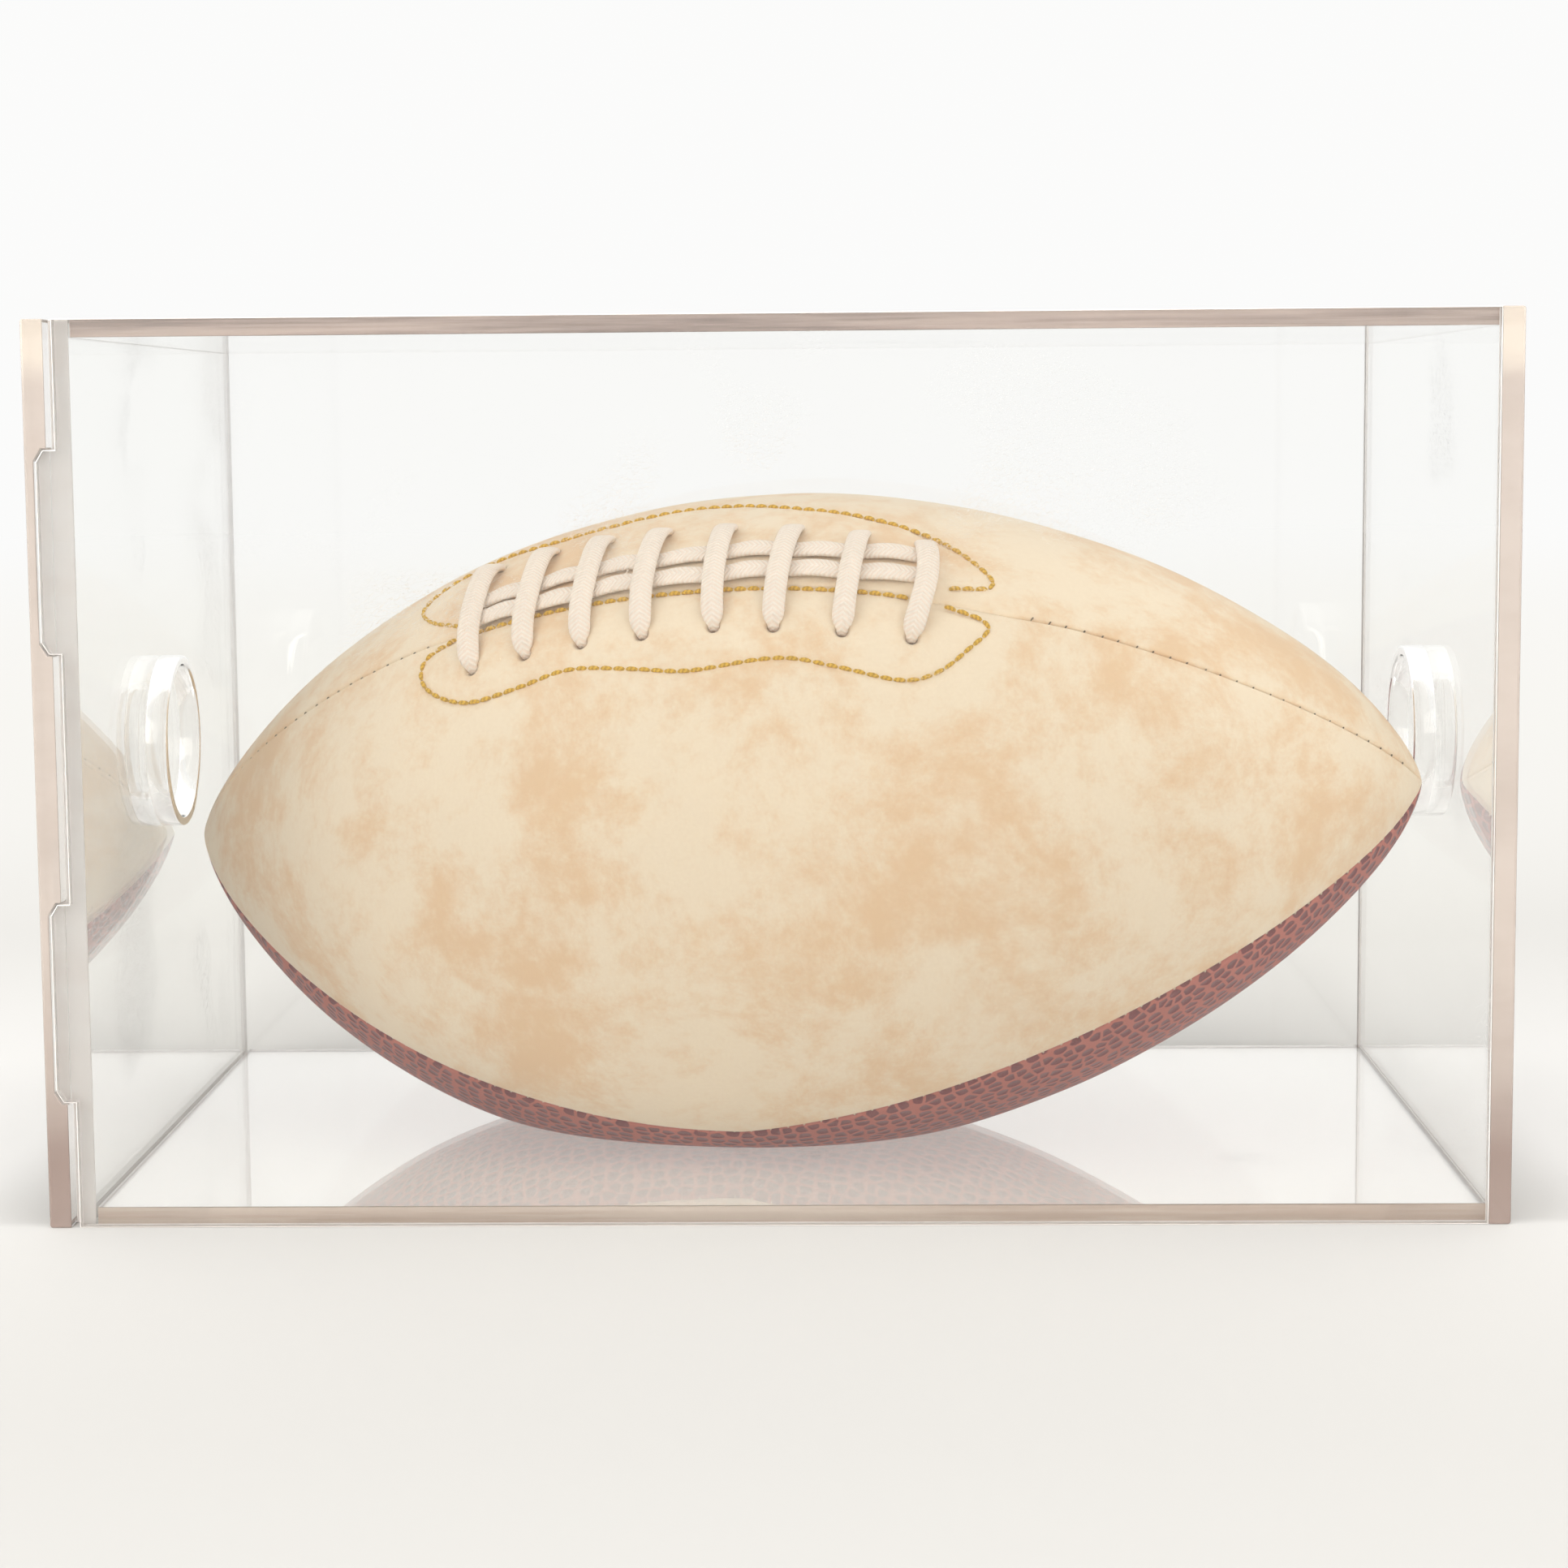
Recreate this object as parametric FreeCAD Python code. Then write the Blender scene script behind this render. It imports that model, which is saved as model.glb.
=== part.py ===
"""Football display case: a clear acrylic box with one pull-off end, and the soft leather football it shows.

Millimetres, +Z up. The origin is the middle of the case's footprint, on the surface it stands on.
+X runs along the case towards its fixed end, -X is the pull-off end, and -Y is the front.
"""

import FreeCAD
import Part
import math
import os
from FreeCAD import Vector

# ---- Case: driving dimensions ----
CASE_LENGTH = 324.0
CASE_DEPTH = 192.5
CASE_HEIGHT = 200.5
WALL_SHEET = 4.5          # front and back panels
DECK_SHEET = 4.0          # top and base panels
END_SHEET = 5.0           # fixed end and the door's outer plate
EDGE_BREAK = 0.4          # polished chamfer on the outside edges of the two ends

# ---- Pull-off end door ----
DOOR_EDGE_GAP = 1.8       # open slot between the outer plate and the edge of the front and back panels
PLUG_SHEET = 4.8          # inner plate that fits inside the mouth
PLUG_SIDE_GAP = 0.4       # running gap between the plug and the front and back panels
PLUG_DECK_GAP = 0.4       # running gap between the plug and the ends of the top and base panels
TAB_LENGTH = 44.5
TAB_DEPTH_IN_PLATE = 2.5
TAB_CHAMFER = (1.6, 2.6)  # across the tab, along the tab
TAB_OFFSET_Z = 49.8       # tab centres above and below the middle of the case
TAB_CLEARANCE = 0.3       # notch all round each tab

# ---- Cup rings that stop the ball's ends wandering ----
RING_OUTER_R = 21.0
RING_WALL = 2.4
RING_HEIGHT = 5.2
RING_LIP_R = 0.7
RING_Z = CASE_HEIGHT / 2
DOOR_RING_Y = -6.0
FIXED_RING_Y = 0.0

# ---- Ball: an under-filled leather football, flat where it rests ----
REST_GAP = 0.3            # between the ball and the base panel
BALL_LEFT = 150.0         # half length towards the door
BALL_RIGHT = 155.0        # half length towards the fixed end
BALL_HALF_WIDTH = 82.5
BALL_RISE = 77.5          # from the long axis up to the crown
BALL_DROP = 86.0          # from the long axis down, before the belly flattens
BELLY_SQUARENESS = 0.95   # exponent of the lower half section, 1 is an ellipse
LEFT_TAPER = (2.18, 0.77)
RIGHT_TAPER = (1.78, 0.68)
BALL_CENTRE = Vector(-0.5, -3.5, 82.0)
BALL_HEADING = -9.7       # degrees, right end turned towards the front
BALL_TILT = 3.2           # degrees, right end up
FLAT_BLEND = 1.2          # softness of the edge of the flat belly
SECTION_POINTS = 28
STATION_STEPS = 22

# ---- Ball: layers, each an inset from the outer surface ----
PANEL_THICKNESS = 2.0
LINING_INSET = (2.0, 3.2)
FACING_INSET = (3.5, 4.3)
TONGUE_INSET = (4.65, 5.4)
BLADDER_INSET = (5.6, 6.8)
TIP_INSET_FACTOR = 1.6    # layers are this much thicker along the axis than across it

# Seam angles in degrees about the long axis: 0 faces the front, 90 is the crown.
# Each is (angle at the middle, change at the left tip, change at the right tip, power of the change).
LACE_SEAM = (48.5, -2.0, -12.0, 2.0)
REAR_UPPER_SEAM = (139.0, 0.0, 0.0, 1.0)
REAR_LOWER_SEAM = (228.0, 0.0, 0.0, 1.0)
FRONT_LOWER_SEAM = (305.5, 18.0, 14.0, 1.1)
TIP_STATION = 0.9985      # the panels stop just short of the tips, round a pin hole
PATCH_ANGLE_STEPS = 12

# ---- Lace ----
LACE_WIDTH = 5.0
LACE_THICKNESS = 1.5
CROSS_COUNT = 8
CROSS_FIRST = -0.41       # station along the ball, -1 and 1 are the tips
CROSS_LAST = 0.27
CROSS_LOW_ANGLE = 38.3
CROSS_HIGH_ANGLES = (69.5, 61.5)   # at the first and the last cross
CROSS_ARCH = 3.5          # clear height under a cross, over the two runs
CROSS_SINK = 1.6          # how far each end goes into its punched hole
RUN_LOW_ANGLES = (50.0, 52.2)
RUN_HIGH_ANGLES = (56.2, 58.0)
RUN_SPAN = (-0.44, 0.292)

# ---- Stitched outline of each lace facing, as (station, angle) points ----
LOWER_OUTLINE = (
    (-0.452, 47.0), (-0.500, 44.0), (-0.498, 38.0), (-0.460, 33.0), (-0.400, 30.2),
    (-0.317, 31.6), (-0.240, 33.6), (-0.140, 32.4), (-0.045, 31.2), (0.085, 33.0),
    (0.170, 31.4), (0.262, 29.2), (0.312, 31.0), (0.350, 36.0), (0.378, 42.5), (0.305, 46.0),
)
UPPER_OUTLINE = (
    (-0.452, 50.5), (-0.512, 56.0), (-0.545, 64.0), (-0.520, 72.0), (-0.440, 77.0),
    (-0.345, 75.0), (-0.250, 75.5), (-0.150, 77.5), (-0.050, 77.0), (0.050, 74.0),
    (0.150, 71.5), (0.240, 67.5), (0.317, 61.8), (0.378, 53.0), (0.312, 50.2),
)
FACING_SPAN = (-0.505, 0.375)
FACING_SEAM_MARGIN = 1.5  # degrees
LOWER_FACING_REACH = -17.0
UPPER_FACING_REACH = 26.0
TONGUE_SPAN = (-0.46, 0.33)
TONGUE_ANGLES = (41.0, 64.0)
STITCH_LENGTH = 2.5
STITCH_PITCH = 3.1
THREAD_R = 0.4

# ---- Inflation valve, in the rear upper panel ----
VALVE_STATION = 0.12
VALVE_ANGLE = 112.0
VALVE_R = 3.0
VALVE_RECESS = 0.5
VALVE_BODY = 13.0

# ---- Places worked out from the above ----
HALF_LENGTH = CASE_LENGTH / 2
HALF_DEPTH = CASE_DEPTH / 2
PLATE_INNER_X = -HALF_LENGTH + END_SHEET
WALL_EDGE_X = PLATE_INNER_X + DOOR_EDGE_GAP
PLUG_INNER_X = PLATE_INNER_X + PLUG_SHEET
DECK_EDGE_X = PLUG_INNER_X + PLUG_DECK_GAP
FIXED_INNER_X = HALF_LENGTH - END_SHEET
WALL_INNER_Y = HALF_DEPTH - WALL_SHEET
FLOOR_Z = DECK_SHEET + REST_GAP


def block(x0, x1, y0, y1, z0, z1):
    """A box between two corners."""
    return Part.makeBox(x1 - x0, y1 - y0, z1 - z0, Vector(x0, y0, z0))


# ---------------------------------------------------------------- case panels

def deck_panel(z0):
    """Top or base panel, held between the front and back panels."""
    return block(DECK_EDGE_X, FIXED_INNER_X, -WALL_INNER_Y, WALL_INNER_Y, z0, z0 + DECK_SHEET)


def tab_prism(y0, y1, centre_z, reach, margin):
    """One locating tab: a flat tongue with its two corners cut off, grown by margin for its notch."""
    tip_x = PLATE_INNER_X - reach - margin
    half = TAB_LENGTH / 2 + margin
    cut_x, cut_z = TAB_CHAMFER
    outline = [
        Vector(WALL_EDGE_X + (0.0 if margin == 0 else 1.0), y0, centre_z - half),
        Vector(tip_x + cut_x, y0, centre_z - half),
        Vector(tip_x, y0, centre_z - half + cut_z),
        Vector(tip_x, y0, centre_z + half - cut_z),
        Vector(tip_x + cut_x, y0, centre_z + half),
        Vector(WALL_EDGE_X + (0.0 if margin == 0 else 1.0), y0, centre_z + half),
    ]
    face = Part.Face(Part.makePolygon(outline + [outline[0]]))
    return face.extrude(Vector(0, y1 - y0, 0))


def tab_centres():
    """Heights of the two tabs on each long panel."""
    return (CASE_HEIGHT / 2 - TAB_OFFSET_Z, CASE_HEIGHT / 2 + TAB_OFFSET_Z)


def wall_panel(y0):
    """Front or back panel: the full height of the case, with two tabs on its door edge."""
    panel = block(WALL_EDGE_X, FIXED_INNER_X, y0, y0 + WALL_SHEET, 0, CASE_HEIGHT)
    for z in tab_centres():
        panel = panel.fuse(tab_prism(y0, y0 + WALL_SHEET, z, TAB_DEPTH_IN_PLATE, 0.0))
    return panel.removeSplitter()


def end_plate(x0, outer_x):
    """A full-size end plate with its outside edges broken."""
    plate = block(x0, x0 + END_SHEET, -HALF_DEPTH, HALF_DEPTH, 0, CASE_HEIGHT)
    rim = [e for e in plate.Edges if all(abs(v.X - outer_x) < 1e-6 for v in e.Vertexes)]
    return plate.makeChamfer(EDGE_BREAK, rim)


def fixed_end_panel():
    """The end that is cemented on for good."""
    return end_plate(FIXED_INNER_X, HALF_LENGTH)


def door_outer_plate():
    """Outer plate of the door, with a notch for each of the four tabs."""
    plate = end_plate(-HALF_LENGTH, -HALF_LENGTH)
    inner = WALL_INNER_Y - TAB_CLEARANCE
    for z in tab_centres():
        front = tab_prism(-HALF_DEPTH - 1.0, -inner, z, TAB_DEPTH_IN_PLATE, TAB_CLEARANCE)
        back = tab_prism(inner, HALF_DEPTH + 1.0, z, TAB_DEPTH_IN_PLATE, TAB_CLEARANCE)
        plate = plate.cut(front).cut(back)
    return plate


def door_plug_plate():
    """Inner plate of the door: it fills the mouth between the front and back panels."""
    side = WALL_INNER_Y - PLUG_SIDE_GAP
    return block(PLATE_INNER_X, PLUG_INNER_X, -side, side, 0, CASE_HEIGHT)


def cup_ring(face_x, direction, centre_y):
    """A short clear tube standing on an end wall, with a rounded free rim."""
    base = Vector(face_x, centre_y, RING_Z)
    axis = Vector(direction, 0, 0)
    tube = Part.makeCylinder(RING_OUTER_R, RING_HEIGHT, base, axis)
    bore = Part.makeCylinder(RING_OUTER_R - RING_WALL, RING_HEIGHT, base, axis)
    ring = tube.cut(bore)
    rim_x = face_x + direction * RING_HEIGHT
    rim = [e for e in ring.Edges
           if isinstance(e.Curve, Part.Circle) and abs(e.Curve.Center.x - rim_x) < 1e-6]
    return ring.makeFillet(RING_LIP_R, rim)


# ---------------------------------------------------------------- ball surface

def taper(station):
    """Radius of the section at a station, as a share of the middle's."""
    power, bluntness = LEFT_TAPER if station < 0 else RIGHT_TAPER
    return max(0.0, 1.0 - abs(station) ** power) ** bluntness


def signed_power(value, power):
    return math.copysign(abs(value) ** power, value)


def place(along, across, height):
    """Ball coordinates (along its heading, across it, up) to the case's frame."""
    heading = math.radians(BALL_HEADING)
    return Vector(
        BALL_CENTRE.x + along * math.cos(heading) - across * math.sin(heading),
        BALL_CENTRE.y + along * math.sin(heading) + across * math.cos(heading),
        height,
    )


def axis_height(along):
    return BALL_CENTRE.z + math.tan(math.radians(BALL_TILT)) * along


def ball_point(station, angle, inset=0.0):
    """A point on the ball's surface, or on the surface of a layer set in from it."""
    half = (BALL_LEFT if station < 0 else BALL_RIGHT) - TIP_INSET_FACTOR * inset
    along = station * half
    share = taper(station)
    cosine = -math.cos(math.radians(angle))
    sine = math.sin(math.radians(angle))
    lower = sine < 0
    power = BELLY_SQUARENESS if lower else 1.0
    reach = (BALL_DROP if lower else BALL_RISE) - inset
    across = (BALL_HALF_WIDTH - inset) * share * signed_power(cosine, power)
    height = axis_height(along) + reach * share * signed_power(sine, power)
    above = height - (FLOOR_Z + inset)
    height = FLOOR_Z + inset + 0.5 * (above + math.sqrt(above ** 2 + 4 * FLAT_BLEND ** 2))
    return place(along, across, height)


def surface_normal(station, angle):
    """Outward normal of the ball's surface."""
    step_u = ball_point(station + 0.004, angle) - ball_point(station - 0.004, angle)
    step_a = ball_point(station, angle + 0.4) - ball_point(station, angle - 0.4)
    normal = step_u.cross(step_a).normalize()
    outward = ball_point(station, angle) - place(station * BALL_LEFT, 0, axis_height(station * BALL_LEFT))
    return normal if normal.dot(outward) > 0 else normal * -1


def stations():
    """Section stations, closer together towards the tips."""
    steps = range(1, STATION_STEPS)
    return [math.sin(math.radians(-90 + 180.0 * i / STATION_STEPS)) for i in steps]


def panel_stations():
    return [-TIP_STATION] + stations() + [TIP_STATION]


def ball_solid(inset):
    """The closed ball surface at an inset, lofted from tip to tip."""
    sections = []
    for station in panel_stations():
        points = [ball_point(station, 360.0 * i / SECTION_POINTS, inset) for i in range(SECTION_POINTS)]
        curve = Part.BSplineCurve()
        curve.interpolate(points, PeriodicFlag=True)
        sections.append(Part.Wire([curve.toShape()]))
    loft = Part.makeLoft(sections, True)
    return loft if loft.Volume > 0 else loft.reversed()


def layer(insets):
    """A shell-like solid between two insets."""
    outer, inner = insets
    return ball_solid(outer).cut(ball_solid(inner))


def seam_angle(seam, station):
    """Angle of a seam at a station."""
    middle, left, right, power = seam
    return middle + (left if station < 0 else right) * abs(station) ** power


def surface_through(grid):
    surface = Part.BSplineSurface()
    surface.interpolate(grid)
    return surface


def iso_edges(surface):
    """The four border curves of a surface."""
    u0, u1, v0, v1 = surface.bounds()
    return [surface.uIso(u0), surface.uIso(u1), surface.vIso(v0), surface.vIso(v1)]


def wall_patch(places, low, high, insets):
    """A piece of the ball's wall between two insets, over stations and between two angle functions."""
    surfaces = []
    for inset in insets:
        grid = []
        for station in places:
            first, last = low(station), high(station)
            angles = [first + (last - first) * i / PATCH_ANGLE_STEPS for i in range(PATCH_ANGLE_STEPS + 1)]
            grid.append([ball_point(station, angle, inset) for angle in angles])
        surfaces.append(surface_through(grid))
    borders = zip(iso_edges(surfaces[0]), iso_edges(surfaces[1]))
    sides = [Part.makeRuledSurface(outer.toShape(), inner.toShape()) for outer, inner in borders]
    shell = Part.makeShell([surface.toShape() for surface in surfaces] + sides)
    shell.sewShape(0.005)
    solid = Part.Solid(shell if shell.ShapeType == "Shell" else shell.Shells[0])
    return solid if solid.Volume > 0 else solid.reversed()


def quarters(insets):
    """A layer in four pieces that meet along the seams: front, upper, rear and lower."""
    seams = {
        "front": (FRONT_LOWER_SEAM, -360.0, LACE_SEAM),
        "upper": (LACE_SEAM, 0.0, REAR_UPPER_SEAM),
        "rear": (REAR_UPPER_SEAM, 0.0, REAR_LOWER_SEAM),
        "lower": (REAR_LOWER_SEAM, 0.0, FRONT_LOWER_SEAM),
    }
    pieces = {}
    for name, (first, turn, last) in seams.items():
        pieces[name] = wall_patch(
            panel_stations(),
            lambda station: seam_angle(first, station) + turn,
            lambda station: seam_angle(last, station),
            insets,
        )
    return pieces


# ---------------------------------------------------------------- facings, tongue and valve

def spread(first, last, count):
    """Evenly spaced values, both ends included."""
    return [first + (last - first) * i / (count - 1) for i in range(count)]


def bulge(station, first, last):
    """0 at the two ends of a span and 1 in its middle, rounded like a tongue's end."""
    middle, half = (first + last) / 2, (last - first) / 2
    return max(0.0, 1.0 - abs((station - middle) / half) ** 4) ** 0.5


def facing(insets, span, seam_side, reach):
    """A leather facing along one side of the lace slit, inside the lining."""
    first, last = span

    def far_edge(station):
        return seam_angle(LACE_SEAM, station) + seam_side + (reach - seam_side) * bulge(station, first, last)

    def near_edge(station):
        return seam_angle(LACE_SEAM, station) + seam_side * 0.5

    low, high = (near_edge, far_edge) if reach > 0 else (far_edge, near_edge)
    return wall_patch(spread(first, last, 13), low, high, insets)


def tongue():
    """The pad that keeps the lace off the bladder."""
    return wall_patch(
        spread(TONGUE_SPAN[0], TONGUE_SPAN[1], 9),
        lambda station: TONGUE_ANGLES[0],
        lambda station: TONGUE_ANGLES[1],
        TONGUE_INSET,
    )


def valve_cylinder(start, length):
    """A cylinder along the valve's axis, from start below the ball's surface."""
    normal = surface_normal(VALVE_STATION, VALVE_ANGLE)
    top = ball_point(VALVE_STATION, VALVE_ANGLE) - normal * start
    return Part.makeCylinder(VALVE_R, length, top, normal * -1)


# ---------------------------------------------------------------- lace and thread

def plane_ribbon(inner, outer, width_axis):
    """A flat lace: the area between two curves, as wide as the lace."""
    low, high = Part.BSplineCurve(), Part.BSplineCurve()
    low.interpolate(inner)
    high.interpolate(outer)
    edges = [
        low.toShape(),
        Part.LineSegment(inner[-1], outer[-1]).toShape(),
        high.toShape(),
        Part.LineSegment(outer[0], inner[0]).toShape(),
    ]
    face = Part.Face(Part.Wire(Part.__sortEdges__(edges)))
    face.translate(width_axis * (-LACE_WIDTH / 2))
    return face.extrude(width_axis * LACE_WIDTH)


def lace_cross(station, high_angle):
    """One cross lace, arched over the two runs, with both ends down in their holes."""
    steps = 10
    heading = math.radians(BALL_HEADING)
    width_axis = Vector(math.cos(heading), math.sin(heading), 0)
    inner, outer = [], []
    for i in range(steps + 1):
        share = i / steps
        angle = CROSS_LOW_ANGLE + (high_angle - CROSS_LOW_ANGLE) * share
        normal = surface_normal(station, angle)
        normal = (normal - width_axis * normal.dot(width_axis)).normalize()
        lift = CROSS_ARCH * math.sqrt(math.sin(math.pi * share)) if 0 < i < steps else -CROSS_SINK
        point = ball_point(station, angle)
        inner.append(point + normal * lift)
        outer.append(point + normal * (lift + LACE_THICKNESS))
    return plane_ribbon(inner, outer, width_axis)


def lace_crosses():
    crosses = []
    for i in range(CROSS_COUNT):
        share = i / (CROSS_COUNT - 1)
        station = CROSS_FIRST + (CROSS_LAST - CROSS_FIRST) * share
        high = CROSS_HIGH_ANGLES[0] + (CROSS_HIGH_ANGLES[1] - CROSS_HIGH_ANGLES[0]) * share
        crosses.append(lace_cross(station, high))
    return Part.makeCompound(crosses)


def lace_run(angles):
    """One of the two runs of lace that lie along the seam, under the crosses."""
    steps = 10
    start, end = RUN_SPAN
    path = []
    for i in range(steps + 1):
        share = i / steps
        path.append((start + (end - start) * share, angles[0] + (angles[1] - angles[0]) * share))
    middle = path[steps // 2]
    chord = (ball_point(*path[-1]) - ball_point(*path[0])).normalize()
    normal = surface_normal(*middle)
    normal = (normal - chord * normal.dot(chord)).normalize()
    width_axis = chord.cross(normal)
    centre = ball_point(*middle)
    inner, outer = [], []
    for station, angle in path:
        point = ball_point(station, angle)
        point = point - width_axis * (point - centre).dot(width_axis)
        inner.append(point + normal * 0.15)
        outer.append(point + normal * (0.15 + LACE_THICKNESS))
    return plane_ribbon(inner, outer, width_axis)


def outline_path(outline):
    """Points every millimetre or so along a stitched outline, on the ball's surface."""
    curve = Part.BSplineCurve()
    curve.interpolate([Vector(100 * station, angle, 0) for station, angle in outline])
    count = 400
    span = curve.LastParameter - curve.FirstParameter
    flat = [curve.value(curve.FirstParameter + span * i / count) for i in range(count + 1)]
    return [(point.x / 100, point.y) for point in flat]


def stitches(outline):
    """A row of separate thread stitches along an outline."""
    solids = []
    travelled = 0.0
    next_start = 0.0
    path = outline_path(outline)
    points = [ball_point(*place_on_ball) for place_on_ball in path]
    begin = None
    for i in range(1, len(points)):
        travelled += points[i].distanceToPoint(points[i - 1])
        if begin is None and travelled >= next_start:
            begin = i
            begin_at = travelled
        elif begin is not None and travelled - begin_at >= STITCH_LENGTH:
            start = points[begin] + surface_normal(*path[begin]) * THREAD_R
            end = points[i] + surface_normal(*path[i]) * THREAD_R
            run = end - start
            solids.append(Part.makeCylinder(THREAD_R, run.Length, start, run))
            next_start = begin_at + STITCH_PITCH
            begin = None
    return Part.makeCompound(solids)


# ---------------------------------------------------------------- assembly

def case_nodes():
    return {
        "base_panel": deck_panel(0.0),
        "top_panel": deck_panel(CASE_HEIGHT - DECK_SHEET),
        "front_panel": wall_panel(-HALF_DEPTH),
        "back_panel": wall_panel(HALF_DEPTH - WALL_SHEET),
        "fixed_end_panel": fixed_end_panel(),
        "fixed_end_cup_ring": cup_ring(FIXED_INNER_X, -1, FIXED_RING_Y),
        "door_outer_plate": door_outer_plate(),
        "door_plug_plate": door_plug_plate(),
        "door_cup_ring": cup_ring(PLUG_INNER_X, 1, DOOR_RING_Y),
    }


def ball_nodes():
    nodes = {}
    valve_hole = valve_cylinder(-2.0, VALVE_BODY + 12.0)
    for name, shape in quarters((0.0, PANEL_THICKNESS)).items():
        nodes["football_panel_" + name] = shape
    for name, shape in quarters(LINING_INSET).items():
        nodes["football_lining_" + name] = shape
    for name in ("football_panel_upper", "football_lining_upper"):
        nodes[name] = nodes[name].cut(valve_hole)
    nodes["football_bladder"] = layer(BLADDER_INSET).cut(valve_hole)
    nodes["football_valve"] = valve_cylinder(VALVE_RECESS, VALVE_BODY)
    nodes["football_lace_facing_lower"] = facing(
        FACING_INSET, FACING_SPAN, -FACING_SEAM_MARGIN, LOWER_FACING_REACH)
    nodes["football_lace_facing_upper"] = facing(
        FACING_INSET, FACING_SPAN, FACING_SEAM_MARGIN, UPPER_FACING_REACH)
    nodes["football_lace_tongue"] = tongue()
    nodes["football_lace_crosses"] = lace_crosses()
    nodes["football_lace_run_lower"] = lace_run(RUN_LOW_ANGLES)
    nodes["football_lace_run_upper"] = lace_run(RUN_HIGH_ANGLES)
    nodes["football_stitching_lower"] = stitches(LOWER_OUTLINE)
    nodes["football_stitching_upper"] = stitches(UPPER_OUTLINE)
    return nodes


def main():
    os.makedirs("parts", exist_ok=True)
    for name, shape in {**case_nodes(), **ball_nodes()}.items():
        shape.exportStep("parts/" + name + ".step")
        box = shape.BoundBox
        print(f"{name:28s} solids {len(shape.Solids):3d} valid {shape.isValid()} "
              f"volume {shape.Volume:10.1f}  x {box.XMin:7.1f} {box.XMax:7.1f}  "
              f"y {box.YMin:6.1f} {box.YMax:6.1f}  z {box.ZMin:6.1f} {box.ZMax:6.1f}")


main()
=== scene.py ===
"""Football display case: a clear acrylic box with a pull-off end, and the leather football in it.

Metres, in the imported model's frame: +X towards the fixed end, -Y is the front, +Z up.
"""

import math
import random

import bmesh
import bpy
import numpy as np
from mathutils import Matrix, Vector, noise
from mathutils.kdtree import KDTree


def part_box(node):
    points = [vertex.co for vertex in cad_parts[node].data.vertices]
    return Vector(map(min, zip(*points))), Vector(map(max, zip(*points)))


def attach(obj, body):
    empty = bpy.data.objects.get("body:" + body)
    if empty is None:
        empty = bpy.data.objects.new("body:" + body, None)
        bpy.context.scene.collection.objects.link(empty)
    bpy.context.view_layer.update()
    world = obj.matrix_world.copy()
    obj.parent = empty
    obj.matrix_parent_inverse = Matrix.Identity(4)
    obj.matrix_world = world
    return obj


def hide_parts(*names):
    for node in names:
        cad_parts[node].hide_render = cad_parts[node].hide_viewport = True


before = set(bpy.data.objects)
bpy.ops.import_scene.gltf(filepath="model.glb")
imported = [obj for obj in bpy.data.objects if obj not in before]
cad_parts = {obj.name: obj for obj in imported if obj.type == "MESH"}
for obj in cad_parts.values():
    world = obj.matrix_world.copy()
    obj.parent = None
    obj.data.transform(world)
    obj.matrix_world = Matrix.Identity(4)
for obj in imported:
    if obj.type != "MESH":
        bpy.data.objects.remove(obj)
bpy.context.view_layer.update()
random.seed(7)

MM = 0.001

# ---- Ball: the same shape as the CAD source ----
BALL_LEFT = 150.0 * MM
BALL_RIGHT = 155.0 * MM
BALL_HALF_WIDTH = 82.5 * MM
BALL_RISE = 77.5 * MM
BALL_DROP = 86.0 * MM
BELLY_SQUARENESS = 0.95
LEFT_TAPER = (2.18, 0.77)
RIGHT_TAPER = (1.78, 0.68)
BALL_CENTRE = (-0.5 * MM, -3.5 * MM, 82.0 * MM)
BALL_HEADING = math.radians(-9.7)
BALL_TILT = math.radians(3.2)
FLOOR_Z = 4.3 * MM
FLAT_BLEND = 1.2 * MM
TIP_INSET_FACTOR = 1.6
RIM_DEPTH = 2.4 * MM      # how far a panel's rim runs in at a seam
DEEPEST_RELIEF = -1.9 * MM
TIP_STATION = 0.9998

# Seams: (angle at the middle, change at the left tip, change at the right tip, power of the change)
LACE_SEAM = (48.5, -2.0, -12.0, 2.0)
REAR_UPPER_SEAM = (139.0, 0.0, 0.0, 1.0)
REAR_LOWER_SEAM = (228.0, 0.0, 0.0, 1.0)
FRONT_LOWER_SEAM = (305.5, 18.0, 14.0, 1.1)

# Layers, as insets from the outer surface
LINING_INSET = (2.05 * MM, 3.2 * MM)
FACING_INSET = (3.5 * MM, 4.3 * MM)
TONGUE_INSET = (4.65 * MM, 5.4 * MM)
BLADDER_INSET = (5.6 * MM, 6.8 * MM)

# ---- Lace, stitching and valve ----
# Each cross lace: (station of its lower hole, its angle, station of its upper hole, its angle)
CROSSES = (
    (-0.412, 38.6, -0.425, 70.0), (-0.322, 39.3, -0.330, 68.9), (-0.229, 39.6, -0.236, 67.9),
    (-0.132, 39.9, -0.139, 66.8), (-0.020, 40.4, -0.033, 65.7), (0.070, 40.0, 0.072, 64.6),
    (0.171, 39.3, 0.172, 63.6), (0.272, 38.6, 0.266, 62.5),
)
RUN_LOW_ANGLES = (49.6, 52.2)
RUN_HIGH_ANGLES = (55.2, 57.6)
RUN_SPAN = (-0.437, 0.286)
LACE_HALF_WIDTH = 2.6 * MM
LACE_HALF_THICKNESS = 0.8 * MM
LOWER_OUTLINE = (
    (-0.452, 47.0), (-0.500, 44.0), (-0.498, 38.0), (-0.460, 33.0), (-0.400, 30.2),
    (-0.317, 31.6), (-0.240, 33.6), (-0.140, 32.4), (-0.045, 31.2), (0.085, 33.0),
    (0.170, 31.4), (0.262, 29.2), (0.312, 31.0), (0.350, 36.0), (0.378, 42.5), (0.305, 46.0),
)
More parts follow.
